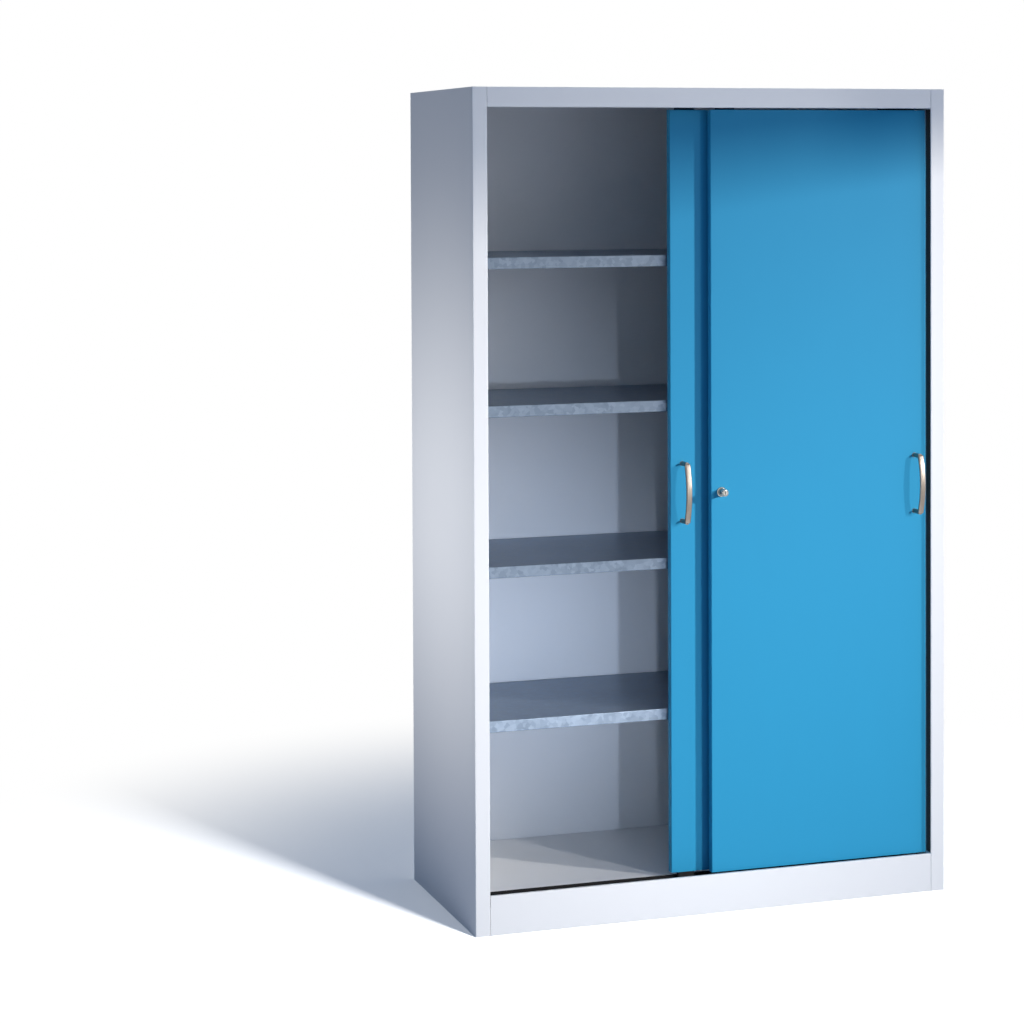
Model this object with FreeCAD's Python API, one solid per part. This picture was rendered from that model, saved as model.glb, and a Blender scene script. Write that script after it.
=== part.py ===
"""Sheet steel cabinet with two sliding doors, four shelves, bow handles and a push lock.

Millimetres, +Z up, +X to the right, the doors face -Y. The origin is the middle of the carcase's
footprint, on the floor. The rear door is drawn open, behind the front door.
"""
import FreeCAD, Part
import math
import os

V = FreeCAD.Vector
ORIGIN = V(0, 0, 0)
TO_RIGHT = V(1, 0, 0)
TO_BACK = V(0, 1, 0)
UP = V(0, 0, 1)

# Carcase envelope
WIDTH = 1200.0
DEPTH = 500.0
HEIGHT = 1950.0

# Sheet thicknesses and the inner radius of every fold
BODY_SHEET = 1.0
BACK_SHEET = 0.8
DOOR_SHEET = 1.0
SHELF_SHEET = 1.0
STIFFENER_SHEET = 1.0
SLOTTED_SHEET = 1.2
FOLD_RADIUS = 1.0

# Front frame: folded posts, with the top rail and the plinth fitted between them
POST_WIDTH = 36.0
POST_DEPTH = 74.0
POST_LIP = 26.0
TOP_RAIL_HEIGHT = 46.5
TOP_RAIL_RETURN = 22.0
TOP_RAIL_LIP = 10.0
PLINTH_HEIGHT = 92.0
PLINTH_RETURN = 8.0
PLINTH_LIP = 8.0
PLINTH_FOOT = 20.0
SEAM = 0.5

# Side, back and top panels
REAR_FLANGE = 20.0
SIDE_FOOT = 20.0
BACK_FLANGE = 15.0
TRAY_FLANGE = 20.0
PANEL_CLEARANCE = 1.0

# Floor panel, with a recess behind the plinth for the bottom guide
FLOOR_HEIGHT = 80.0
RECESS_DEPTH = 24.0
FLOOR_FLANGE = 20.0
RECESS_LIP = 30.0
FLOOR_STIFFENER_OFFSET = 200.0
FLOOR_STIFFENER_HEIGHT = 30.0
FLOOR_STIFFENER_CROWN = 40.0
STIFFENER_FLANGE = 15.0

# Doors
DOOR_SETBACK = 25.0
DOOR_THICKNESS = 19.0
DOOR_GAP = 8.0
DOOR_EDGE_GAP = 1.5
FRONT_DOOR_LAP = 2.5
REAR_DOOR_LAP = 61.0
REAR_DOOR_STOP_GAP = 35.5
DOOR_LIP = 15.0
DOOR_HEM = 20.0
DOOR_HEAD_GAP = 17.5
DOOR_FOOT_GAP = 16.0
DOOR_STIFFENER_CROWN = 44.0
DOOR_STIFFENER_DEPTH = 14.0
DOOR_STIFFENER_MARGIN = 24.0

# Slotted shelf rails and shelves
SHELF_RAIL_STANDOFF = 8.0
SHELF_RAIL_WIDTH = 24.0
FRONT_SHELF_RAIL_SETBACK = 95.0
REAR_SHELF_RAIL_GAP = 20.0
SHELF_RAIL_HEAD_GAP = 80.0
SHELF_RAIL_FOOT_GAP = 2.0
SLOT_PITCH = 15.0
SLOT_HEIGHT = 4.0
SLOT_WIDTH = 12.0
FIRST_SLOT_ABOVE_FLOOR = 32.0
SHELF_ROWS = (95, 72, 47, 23)
SHELF_ABOVE_SLOT = 20.0
SHELF_SETBACK = 80.0
SHELF_REAR_GAP = 4.0
SHELF_END_GAP = 2.0
SHELF_LIP = 27.5
SHELF_HEM = 12.0
SHELF_HEM_UPTURN = 8.0
SHELF_STIFFENER_CROWN = 30.0
SHELF_STIFFENER_DEPTH = 19.0
SHELF_STIFFENER_MARGIN = 29.0

# Shelf clips, hooked into the slots
CLIP_SHEET = 1.5
CLIP_WIDTH = 10.0
CLIP_LEDGE = 14.0
CLIP_TONGUE_HEIGHT = 3.0
CLIP_HOOK_DROP = 3.5
CLIP_HOOK_THICKNESS = 1.5
CLIP_UPSTAND = 8.0
CLIP_CLEARANCE = 0.3

# Rollers, axles and hangers
ROLLER_TREAD_RADIUS = 10.2
ROLLER_RADIUS = 12.0
ROLLER_WIDTH = 8.0
ROLLER_GROOVE = 2.8
ROLLER_CHAMFER = 0.6
RAIL_RUNNING_GAP = 0.3
BEARING_RADIUS = 6.5
BEARING_WIDTH = 5.0
SHIELD_RADIUS = 5.6
SHIELD_DEPTH = 0.4
AXLE_RADIUS = 3.0
AXLE_HEAD_RADIUS = 4.5
AXLE_HEAD = 2.0
AXLE_RIVET = 1.5
AXLE_SHOULDER_RADIUS = 4.2
RUNNING_FIT = 0.05
PRESS_SEAT = 0.05
AXLE_END_PLAY = 0.1
HANGER_SHEET = 2.0
HANGER_WIDTH = 50.0
HANGER_HEAD = 9.0
HANGER_INSET = 45.0
HANGER_TO_ROLLER = 0.8
HANGER_SCREW_SPACING = 28.0
HANGER_SCREW_DROP = 10.0

# Top track: one plate with two J-shaped runs
TRACK_PLATE = 3.0
TRACK_WALL = 1.5
TRACK_DROP = 32.0
TRACK_RIB_HEIGHT = 2.5
TRACK_RIB_WIDTH = 2.0
TRACK_WALL_CLEARANCE = 3.7
TRACK_LEDGE_CLEARANCE = 1.0
TRACK_MARGIN = 3.0
TRACK_SCREWS = 5
TRACK_SCREW_MARGIN = 30.0
TRACK_STOP_LENGTH = 12.0
TRACK_STOP_WIDTH = 9.0
TRACK_STOP_HEIGHT = 16.0
TRACK_STOP_GAP = 0.5

# Bottom guide rail and the shoes under the doors
GUIDE_PLATE = 1.5
GUIDE_RIB_HEIGHT = 16.5
GUIDE_RIB_WIDTH = 2.0
GUIDE_MARGIN = 6.5
GUIDE_RIVETS = 6
GUIDE_RIVET_MARGIN = 50.0
SHOE_LENGTH = 40.0
SHOE_WIDTH = 12.0
SHOE_INSET = 40.0
SHOE_GROUND_GAP = 2.5
SHOE_SLOT_CLEARANCE = 0.4
SHOE_SLOT_HEADROOM = 1.0
SHOE_PEG_RADIUS = 2.9
SHOE_PEG_HEAD_RADIUS = 3.6
SHOE_PEG_HEAD = 2.0

# Screws and rivets
M5_RADIUS = 2.5
M5_HEAD_RADIUS = 4.5
M5_HEAD = 3.0
M5_NUT_RADIUS = 4.2
M5_NUT = 4.0
M4_RADIUS = 2.0
M4_HEAD_RADIUS = 3.5
M4_HEAD = 2.0
RIVET_HEAD = 1.5
HOLE_CLEARANCE = 0.2
THREAD_CLEARANCE = 0.05

# Rubber buffers pressed into the post returns
BUFFER_RADIUS = 5.0
BUFFER_STEM_RADIUS = 2.5
BUFFER_BARB_RADIUS = 3.4
BUFFER_BARB = 2.0
BUFFER_GAP = 0.3
BUFFER_HEIGHTS = (300.0, 1650.0)

# Rubber strip on the return of the right post, in front of the closed door's edge
SEAL_THICKNESS = 1.0
SEAL_MARGIN = 2.0

# Bow handles
HANDLE_HEIGHT = 995.0
HANDLE_INSET = 30.0
HANDLE_LEG_SPACING = 136.0
HANDLE_LEG_RADIUS = 5.5
HANDLE_END_REACH = 31.0
HANDLE_BOW = 12.75
GRIP_WIDTH = 14.0
GRIP_THICKNESS = 7.5
GRIP_OVERHANG = 2.5
GRIP_EDGE_RADIUS = 3.0
GRIP_TO_DOOR_EDGE = 7.0
HANDLE_SCREW_DEPTH = 12.0
HANDLE_BORE_DEPTH = 14.0
HANDLE_SCREW_HEAD_RADIUS = 4.0
HANDLE_SCREW_HEAD = 2.5

# Push lock in the front door and its strike on the rear door
LOCK_INSET = 26.5
LOCK_HEIGHT = 995.0
ROSETTE_RADIUS = 12.0
ROSETTE_THICKNESS = 3.0
LOCK_SLEEVE_RADIUS = 10.5
LOCK_SLEEVE_LENGTH = 18.5
LOCK_CAP = 2.0
LOCK_CYLINDER_RADIUS = 8.5
LOCK_PROUD = 24.0
LOCK_CYLINDER_SEAT = 4.0
LOCK_FACE_CHAMFER = 0.8
CORE_RADIUS = 5.5
CORE_LENGTH = 16.0
KEYWAY_WIDTH = 2.0
KEYWAY_HEIGHT = 7.5
KEYWAY_DEPTH = 10.0
LOCK_PIN_RADIUS = 4.0
LOCK_PIN_REACH = 14.3
LOCK_PIN_SEAT = 3.0
SPRING_BORE_RADIUS = 6.5
SPRING_BORE_DEPTH = 7.0
SPRING_WIRE = 1.0
SPRING_TURNS = 6.0
SPRING_END_GAP = 0.3
LOCK_NUT_RADIUS = 14.0
LOCK_NUT_THICKNESS = 4.0
STRIKE_RADIUS = 10.0
STRIKE_PROUD = 5.5
STRIKE_NECK_RADIUS = 6.0
STRIKE_REAR_RADIUS = 9.0
STRIKE_REAR_THICKNESS = 1.5
STRIKE_CLEARANCE = 0.6

# Planes and levels worked out from the sizes above
FRONT = -DEPTH / 2
BACK = DEPTH / 2
SIDE = WIDTH / 2
SIDE_INNER = SIDE - BODY_SHEET
POST_EDGE = SIDE - POST_WIDTH
BACK_OUTER = BACK - BODY_SHEET
BACK_INNER = BACK_OUTER - BACK_SHEET
TOP_UNDERSIDE = HEIGHT - BODY_SHEET
BETWEEN_POSTS = POST_EDGE - SEAM
BEHIND_POSTS = FRONT + POST_DEPTH + PANEL_CLEARANCE
RECESS_FLOOR = FLOOR_HEIGHT - RECESS_DEPTH
TRAY_REAR = BACK_OUTER - BACK_FLANGE - PANEL_CLEARANCE

FRONT_DOOR_FACE = FRONT + DOOR_SETBACK
FRONT_DOOR_BACK = FRONT_DOOR_FACE + DOOR_THICKNESS
REAR_DOOR_FACE = FRONT_DOOR_BACK + DOOR_GAP
REAR_DOOR_BACK = REAR_DOOR_FACE + DOOR_THICKNESS
FRONT_DOOR_LEFT = -FRONT_DOOR_LAP
FRONT_DOOR_RIGHT = POST_EDGE - DOOR_EDGE_GAP
REAR_DOOR_RIGHT = POST_EDGE - REAR_DOOR_STOP_GAP
REAR_DOOR_WIDTH = POST_EDGE - DOOR_EDGE_GAP + REAR_DOOR_LAP
REAR_DOOR_LEFT = REAR_DOOR_RIGHT - REAR_DOOR_WIDTH
REAR_DOOR_CLOSED_LEFT = -POST_EDGE + DOOR_EDGE_GAP
REAR_DOOR_TRAVEL = REAR_DOOR_LEFT - REAR_DOOR_CLOSED_LEFT
CLOSED_GRIP_EDGE = REAR_DOOR_CLOSED_LEFT + HANDLE_INSET + GRIP_WIDTH / 2
FRONT_DOOR_FULL_TRAVEL = FRONT_DOOR_LEFT - GRIP_TO_DOOR_EDGE - CLOSED_GRIP_EDGE

TRACK_BOTTOM = TOP_UNDERSIDE - TRACK_DROP
TRACK_RIB_TOP = TRACK_BOTTOM + TRACK_WALL + TRACK_RIB_HEIGHT
AXLE_HEIGHT = TRACK_RIB_TOP + RAIL_RUNNING_GAP + ROLLER_TREAD_RADIUS
GUIDE_TOP = RECESS_FLOOR + GUIDE_PLATE + GUIDE_RIB_HEIGHT
DOOR_TOP = TRACK_BOTTOM - DOOR_HEAD_GAP
DOOR_BOTTOM = GUIDE_TOP + DOOR_FOOT_GAP
SHELF_RAIL_FACE = SIDE_INNER - SHELF_RAIL_STANDOFF
SHELF_END = SHELF_RAIL_FACE - SHELF_END_GAP
FIRST_SLOT = FLOOR_HEIGHT + FIRST_SLOT_ABOVE_FLOOR
SHELF_RAIL_TOP = HEIGHT - SHELF_RAIL_HEAD_GAP
LOCK_X = FRONT_DOOR_LEFT + LOCK_INSET
STRIKE_X = LOCK_X + REAR_DOOR_TRAVEL


def box(x_range, y_range, z_range):
    """Block that fills the three ranges."""
    low = V(x_range[0], y_range[0], z_range[0])
    return Part.makeBox(
        x_range[1] - x_range[0], y_range[1] - y_range[0], z_range[1] - z_range[0], low
    )


def disc(radius, x, z, y_range):
    """Round bar along Y."""
    return Part.makeCylinder(radius, y_range[1] - y_range[0], V(x, y_range[0], z), TO_BACK)


def ring(outer, inner, x, z, y_range):
    """Round tube along Y."""
    return disc(outer, x, z, y_range).cut(disc(inner, x, z, y_range))


def post(radius, x, y, z_range):
    """Round bar along Z."""
    return Part.makeCylinder(radius, z_range[1] - z_range[0], V(x, y, z_range[0]), UP)


def joined(first, *others):
    """One solid made of solids that meet or overlap."""
    return first.fuse(list(others)).removeSplitter().Solids[0]


def spaced(count, start, end):
    """Places spread evenly from start to end."""
    return [start + (end - start) * i / (count - 1) for i in range(count)]


def along_x(x):
    """Puts a (Y, Z) drawing on the plane at x."""
    return lambda p: V(x, p.x, p.y)


def along_y(y):
    """Puts an (X, Z) drawing on the plane at y."""
    return lambda p: V(p.x, y, p.y)


def along_z(z):
    """Puts an (X, Y) drawing on the plane at z."""
    return lambda p: V(p.x, p.y, z)


def unit(vector):
    """The vector at length one."""
    return vector * (1 / vector.Length)


def on_the_right(points, distance):
    """The line moved sideways to its right, with mitred corners."""
    directions = [unit(b - a) for a, b in zip(points, points[1:])]
    normals = [V(d.y, -d.x, 0) for d in directions]
    moved = [points[0] + normals[0] * distance]
    for corner, before, after in zip(points[1:], normals, normals[1:]):
        mitre = before + after
        moved.append(corner + mitre * (2 * distance / mitre.dot(mitre)))
    moved.append(points[-1] + normals[-1] * distance)
    return moved


def rounded_line(points, radii, place):
    """Edges along the points, with an arc at each inner corner."""
    edges = []
    start = points[0]
    for before, corner, after, radius in zip(points, points[1:], points[2:], radii):
        back, on = unit(before - corner), unit(after - corner)
        half = back.getAngle(on) / 2
        bisector = unit(back + on)
        first = corner + back * (radius / math.tan(half))
        last = corner + on * (radius / math.tan(half))
        middle = corner + bisector * (radius / math.sin(half) - radius)
        edges.append(Part.LineSegment(place(start), place(first)).toShape())
        edges.append(Part.Arc(place(first), place(middle), place(last)).toShape())
        start = last
    edges.append(Part.LineSegment(place(start), place(points[-1])).toShape())
    return edges


def folded(corners, sheet, place, sweep):
    """Sheet folded along the corners, its thickness to their right, and swept straight."""
    near = [V(u, v, 0) for u, v in corners]
    far = on_the_right(near, sheet)
    near_radii, far_radii = [], []
    for a, b, c in zip(near, near[1:], near[2:]):
        to_the_right = (b - a).cross(c - b).z < 0
        near_radii.append(FOLD_RADIUS + sheet if to_the_right else FOLD_RADIUS)
        far_radii.append(FOLD_RADIUS if to_the_right else FOLD_RADIUS + sheet)
    edges = rounded_line(near, near_radii, place)
    edges.append(Part.LineSegment(place(near[-1]), place(far[-1])).toShape())
    edges += rounded_line(far[::-1], far_radii[::-1], place)
    edges.append(Part.LineSegment(place(far[0]), place(near[0])).toShape())
    return Part.Face(Part.Wire(edges)).extrude(sweep)


def hat(middle, level, crown, depth, into):
    """Corners of a hat section whose flanges lie on a level; into is +1 or -1 along the drawing's v.

    The thickness lies on the side that into points to.
    """
    half = crown / 2
    reach = half + STIFFENER_FLANGE
    bottom = level + into * depth
    turn = -into
    return [
        (middle - turn * reach, level),
        (middle - turn * half, level),
        (middle - turn * half, bottom),
        (middle + turn * half, bottom),
        (middle + turn * half, level),
        (middle + turn * reach, level),
    ]


def mirrored(shape):
    """The same piece for the other side of the cabinet."""
    return shape.mirror(ORIGIN, TO_RIGHT)


def save(node, *solids):
    """Writes one node: a solid, or a group of separate solids."""
    shape = solids[0] if len(solids) == 1 else Part.makeCompound(list(solids))
    shape.exportStep(f"parts/{node}.step")


def buffer_seats(y):
    """Bars along X that pierce the left post's return where the buffers sit."""
    radius = BUFFER_STEM_RADIUS + RUNNING_FIT
    starts = [V(-POST_EDGE - POST_LIP, y, z) for z in BUFFER_HEIGHTS]
    return [Part.makeCylinder(radius, 2 * POST_LIP, start, TO_RIGHT) for start in starts]


def side_panel(buffer_y):
    """Left side panel: front post, outer wall and rear flange folded from one sheet."""
    outline = [
        (-POST_EDGE - POST_LIP, FRONT + POST_DEPTH),
        (-POST_EDGE, FRONT + POST_DEPTH),
        (-POST_EDGE, FRONT),
        (-SIDE, FRONT),
        (-SIDE, BACK),
        (-SIDE + REAR_FLANGE, BACK),
    ]
    wall = folded(outline, BODY_SHEET, along_z(0), UP * HEIGHT)
    foot = box(
        (-SIDE_INNER - BODY_SHEET / 2, -SIDE_INNER + SIDE_FOOT),
        (BEHIND_POSTS, TRAY_REAR),
        (0, BODY_SHEET),
    )
    clear_of_face = FRONT + 2 * (FOLD_RADIUS + BODY_SHEET)
    top_notch = box(
        (-SIDE_INNER + SEAM, -POST_EDGE + SEAM),
        (clear_of_face, BEHIND_POSTS),
        (TOP_UNDERSIDE, HEIGHT),
    )
    return joined(wall, foot).cut([top_notch, *buffer_seats(buffer_y)])


def back_panel():
    """Back wall with a flange forward along each side."""
    outline = [
        (-SIDE_INNER, BACK_OUTER - BACK_FLANGE),
        (-SIDE_INNER, BACK_OUTER),
        (SIDE_INNER, BACK_OUTER),
        (SIDE_INNER, BACK_OUTER - BACK_FLANGE),
    ]
    return folded(outline, BACK_SHEET, along_z(0), UP * TOP_UNDERSIDE)


def top_panel():
    """Shallow tray between the side panels, its flanges turned down."""
    flange_z = (TOP_UNDERSIDE - TRAY_FLANGE, TOP_UNDERSIDE + BODY_SHEET / 2)
    over_posts = FRONT + 2 * (FOLD_RADIUS + BODY_SHEET)
    corner_x, corner_y = SIDE_INNER - FOLD_RADIUS, BACK_OUTER - FOLD_RADIUS
    sheet = box((-SIDE_INNER, SIDE_INNER), (over_posts, corner_y), (TOP_UNDERSIDE, HEIGHT))
    rear_edge = box((-corner_x, corner_x), (over_posts, BACK_OUTER), (TOP_UNDERSIDE, HEIGHT))
    tongue = box(
        (-BETWEEN_POSTS, BETWEEN_POSTS),
        (FRONT + BODY_SHEET, over_posts + BODY_SHEET),
        (TOP_UNDERSIDE, HEIGHT),
    )
    front_flange = box(
        (-BETWEEN_POSTS, BETWEEN_POSTS),
        (FRONT + BODY_SHEET, FRONT + 2 * BODY_SHEET),
        flange_z,
    )
    rear_x = SIDE_INNER - BACK_SHEET - FOLD_RADIUS
    rear_flange = box((-rear_x, rear_x), (BACK_INNER - BODY_SHEET, BACK_INNER), flange_z)
    side_y = (BEHIND_POSTS, TRAY_REAR)
    left_flange = box((-SIDE_INNER, -SIDE_INNER + BODY_SHEET), side_y, flange_z)
    flanges = [front_flange, rear_flange, left_flange, mirrored(left_flange)]
    return joined(sheet, rear_edge, tongue, *flanges).cut(track_screw_holes())


def floor_panel():
    """Cabinet floor, its front stepped down to carry the bottom guide behind the plinth."""
    outline = [
        (FRONT + 2 * BODY_SHEET, RECESS_FLOOR + RECESS_LIP),
        (FRONT + 2 * BODY_SHEET, RECESS_FLOOR),
        (BEHIND_POSTS, RECESS_FLOOR),
        (BEHIND_POSTS, FLOOR_HEIGHT),
        (BACK_INNER, FLOOR_HEIGHT),
        (BACK_INNER, FLOOR_HEIGHT - FLOOR_FLANGE),
    ]
    middle = folded(
        outline, BODY_SHEET, along_x(-BETWEEN_POSTS), TO_RIGHT * (2 * BETWEEN_POSTS)
    )
    wing_x = (-SIDE_INNER, -BETWEEN_POSTS + BODY_SHEET)
    front_y = BEHIND_POSTS + 2 * (FOLD_RADIUS + BODY_SHEET)
    wing = box(wing_x, (front_y, TRAY_REAR), (FLOOR_HEIGHT - BODY_SHEET, FLOOR_HEIGHT))
    flange = box(
        (-SIDE_INNER, -SIDE_INNER + BODY_SHEET),
        (front_y, TRAY_REAR),
        (FLOOR_HEIGHT - FLOOR_FLANGE, FLOOR_HEIGHT),
    )
    tray = joined(middle, wing, flange, mirrored(wing), mirrored(flange))
    return tray.cut(guide_rivet_holes())


def floor_stiffener(x):
    """Hat section from front to back under the floor."""
    corners = hat(
        x, FLOOR_HEIGHT - BODY_SHEET, FLOOR_STIFFENER_CROWN, FLOOR_STIFFENER_HEIGHT, -1
    )
    start = BEHIND_POSTS + 2 * (FOLD_RADIUS + BODY_SHEET)
    length = BACK_INNER - BODY_SHEET - PANEL_CLEARANCE - start
    return folded(corners, STIFFENER_SHEET, along_y(start), TO_BACK * length)


def top_rail():
    """Rail over the doors, fitted between the posts."""
    level = HEIGHT - TOP_RAIL_HEIGHT
    outline = [
        (FRONT + TOP_RAIL_RETURN, level + TOP_RAIL_LIP),
        (FRONT + TOP_RAIL_RETURN, level),
        (FRONT, level),
        (FRONT, HEIGHT),
    ]
    return folded(outline, BODY_SHEET, along_x(-BETWEEN_POSTS), TO_RIGHT * (2 * BETWEEN_POSTS))


def plinth():
    """Plinth under the doors, fitted between the posts, with a foot turned in on the ground."""
    outline = [
        (FRONT + PLINTH_FOOT, 0),
        (FRONT, 0),
        (FRONT, PLINTH_HEIGHT),
        (FRONT + PLINTH_RETURN, PLINTH_HEIGHT),
        (FRONT + PLINTH_RETURN, PLINTH_HEIGHT - PLINTH_LIP),
    ]
    return folded(outline, BODY_SHEET, along_x(-BETWEEN_POSTS), TO_RIGHT * (2 * BETWEEN_POSTS))


def shelf_rail(front_y):
    """Left slotted rail, a channel standing on the side panel."""
    rear_y = front_y + SHELF_RAIL_WIDTH
    bottom = FLOOR_HEIGHT + SHELF_RAIL_FOOT_GAP
    outline = [
        (-SIDE_INNER, rear_y),
        (-SHELF_RAIL_FACE, rear_y),
        (-SHELF_RAIL_FACE, front_y),
        (-SIDE_INNER, front_y),
    ]
    rail = folded(outline, SLOTTED_SHEET, along_z(bottom), UP * (SHELF_RAIL_TOP - bottom))
    rows = int((SHELF_RAIL_TOP - FIRST_SLOT - SLOT_HEIGHT) / SLOT_PITCH)
    middle = front_y + SHELF_RAIL_WIDTH / 2
    slot = box(
        (-SHELF_RAIL_FACE - 2 * SLOTTED_SHEET, -SHELF_RAIL_FACE + SLOTTED_SHEET),
        (middle - SLOT_WIDTH / 2, middle + SLOT_WIDTH / 2),
        (FIRST_SLOT, FIRST_SLOT + SLOT_HEIGHT),
    )
    slots = [slot.translated(UP * (SLOT_PITCH * row)) for row in range(rows)]
    return rail.cut(Part.makeCompound(slots)).Solids[0]


def slot_level(row):
    """Lower edge of a slot, counted from the lowest."""
    return FIRST_SLOT + SLOT_PITCH * row


def shelf(row):
    """Shelf with boxed front and rear lips and a flange down at each end."""
    top = slot_level(row) + SHELF_ABOVE_SLOT
    bottom = top - SHELF_LIP
    front_y, rear_y = FRONT + SHELF_SETBACK, BACK_INNER - SHELF_REAR_GAP
    outline = [
        (front_y + SHELF_HEM, bottom + SHELF_HEM_UPTURN),
        (front_y + SHELF_HEM, bottom),
        (front_y, bottom),
        (front_y, top),
        (rear_y, top),
        (rear_y, bottom),
        (rear_y - SHELF_HEM, bottom),
        (rear_y - SHELF_HEM, bottom + SHELF_HEM_UPTURN),
    ]
    tray = folded(outline, SHELF_SHEET, along_x(-SHELF_END), TO_RIGHT * (2 * SHELF_END))
    inside = FOLD_RADIUS + SHELF_SHEET
    end = box(
        (-SHELF_END, -SHELF_END + SHELF_SHEET),
        (front_y + inside, rear_y - inside),
        (bottom, top - SHELF_SHEET / 2),
    )
    return joined(tray, end, mirrored(end))


def shelf_stiffener(row):
    """Hat section under the middle of a shelf."""
    underside = slot_level(row) + SHELF_ABOVE_SLOT - SHELF_SHEET
    middle = (FRONT + SHELF_SETBACK + BACK_INNER - SHELF_REAR_GAP) / 2
    corners = hat(middle, underside, SHELF_STIFFENER_CROWN, SHELF_STIFFENER_DEPTH, -1)
    start = -SHELF_END + SHELF_STIFFENER_MARGIN
    return folded(corners, STIFFENER_SHEET, along_x(start), TO_RIGHT * (-2 * start))


def shelf_clip(row, rail_front):
    """Left clip: a ledge under the shelf's end, hooked through a slot of the rail."""
    slot = slot_level(row)
    seat = slot + SHELF_ABOVE_SLOT - SHELF_LIP
    middle = rail_front + SHELF_RAIL_WIDTH / 2
    y_range = (middle - CLIP_WIDTH / 2, middle + CLIP_WIDTH / 2)
    face = -SHELF_RAIL_FACE
    behind = face - SLOTTED_SHEET - CLIP_CLEARANCE
    tongue_z = (slot + CLIP_CLEARANCE, slot + CLIP_CLEARANCE + CLIP_TONGUE_HEIGHT)
    ledge = box((face, face + CLIP_LEDGE), y_range, (seat - CLIP_SHEET, seat))
    upstand = box((face, face + CLIP_SHEET), y_range, (seat - CLIP_SHEET, slot + CLIP_UPSTAND))
    tongue = box((behind - CLIP_HOOK_THICKNESS, face + CLIP_SHEET), y_range, tongue_z)
    hook = box(
        (behind - CLIP_HOOK_THICKNESS, behind), y_range, (slot - CLIP_HOOK_DROP, tongue_z[1])
    )
    return joined(ledge, upstand, tongue, hook)


def run_plane(door_back):
    """Middle plane of the rollers of the door whose back is given."""
    return door_back - HANGER_TO_ROLLER - ROLLER_WIDTH / 2


def track_screw_places():
    """X of each screw that holds the top track, and the Y of their row."""
    reach = BETWEEN_POSTS - TRACK_SCREW_MARGIN
    y = (FRONT_DOOR_BACK + HANGER_SHEET + run_plane(REAR_DOOR_BACK) - ROLLER_RADIUS) / 2
    return spaced(TRACK_SCREWS, -reach, reach), y


def track_screw_holes():
    """Bars that pierce the track and the top panel."""
    places, y = track_screw_places()
    z_range = (TOP_UNDERSIDE - 2 * TRACK_PLATE, HEIGHT + BODY_SHEET)
    return [post(M4_RADIUS + HOLE_CLEARANCE, x, y, z_range) for x in places]


def track_screw(x, y):
    """Screw up through the track into the top panel."""
    plate_bottom = TOP_UNDERSIDE - TRACK_PLATE
    shank = post(M4_RADIUS, x, y, (plate_bottom - M4_HEAD / 2, HEIGHT))
    head = post(M4_HEAD_RADIUS, x, y, (plate_bottom - M4_HEAD, plate_bottom))
    return joined(shank, head)


def top_track():
    """Plate under the top panel with a J-shaped run for each door."""
    x_range = (-BETWEEN_POSTS, BETWEEN_POSTS)
    plate_bottom = TOP_UNDERSIDE - TRACK_PLATE
    pieces = []
    for door_back in (FRONT_DOOR_BACK, REAR_DOOR_BACK):
        plane = run_plane(door_back)
        wall = plane - ROLLER_WIDTH / 2 - TRACK_WALL_CLEARANCE - TRACK_WALL
        ledge_top = TRACK_BOTTOM + TRACK_WALL
        rib = (plane - TRACK_RIB_WIDTH / 2, plane + TRACK_RIB_WIDTH / 2)
        pieces.append(box(x_range, (wall, wall + TRACK_WALL), (TRACK_BOTTOM, TOP_UNDERSIDE)))
        pieces.append(
            box(x_range, (wall, door_back - TRACK_LEDGE_CLEARANCE), (TRACK_BOTTOM, ledge_top))
        )
        pieces.append(box(x_range, rib, (TRACK_BOTTOM, ledge_top + TRACK_RIB_HEIGHT)))
    front_y = run_plane(FRONT_DOOR_BACK) - ROLLER_RADIUS
    rear_y = REAR_DOOR_BACK + HANGER_SHEET + TRACK_MARGIN
    plate = box(x_range, (front_y, rear_y), (plate_bottom, TOP_UNDERSIDE))
    return joined(plate, *pieces).cut(track_screw_holes())


def track_stop(hanger_edge, door_back, side):
    """Rubber block under the track that a hanger's edge meets; side is the way it stands from it."""
    near = hanger_edge + side * TRACK_STOP_GAP
    far = near + side * TRACK_STOP_LENGTH
    top = TOP_UNDERSIDE - TRACK_PLATE
    middle = door_back + HANGER_SHEET / 2
    return box(
        (min(near, far), max(near, far)),
        (middle - TRACK_STOP_WIDTH / 2, middle + TRACK_STOP_WIDTH / 2),
        (top - TRACK_STOP_HEIGHT, top),
    )


def guide_planes():
    """Middle planes of the two doors, where the guide ribs stand."""
    return [face + DOOR_THICKNESS / 2 for face in (FRONT_DOOR_FACE, REAR_DOOR_FACE)]


def guide_rivet_places():
    """X of each rivet of the guide rail, and the Y of their row."""
    reach = BETWEEN_POSTS - GUIDE_RIVET_MARGIN
    return spaced(GUIDE_RIVETS, -reach, reach), sum(guide_planes()) / 2


def guide_rivet_holes():
    """Bars that pierce the guide rail and the recess of the floor."""
    places, y = guide_rivet_places()
    z_range = (RECESS_FLOOR - 2 * BODY_SHEET, RECESS_FLOOR + 2 * GUIDE_PLATE)
    return [post(M4_RADIUS + HOLE_CLEARANCE, x, y, z_range) for x in places]


def guide_rivet(x, y):
    """Rivet down through the guide rail and the recess of the floor."""
    plate_top = RECESS_FLOOR + GUIDE_PLATE
    under = RECESS_FLOOR - BODY_SHEET
    shank = post(M4_RADIUS, x, y, (under - RIVET_HEAD / 2, plate_top + RIVET_HEAD / 2))
    head = post(M4_HEAD_RADIUS, x, y, (plate_top, plate_top + RIVET_HEAD))
    tail = post(M4_HEAD_RADIUS, x, y, (under - RIVET_HEAD, under))
    return joined(shank, head, tail)


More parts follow.
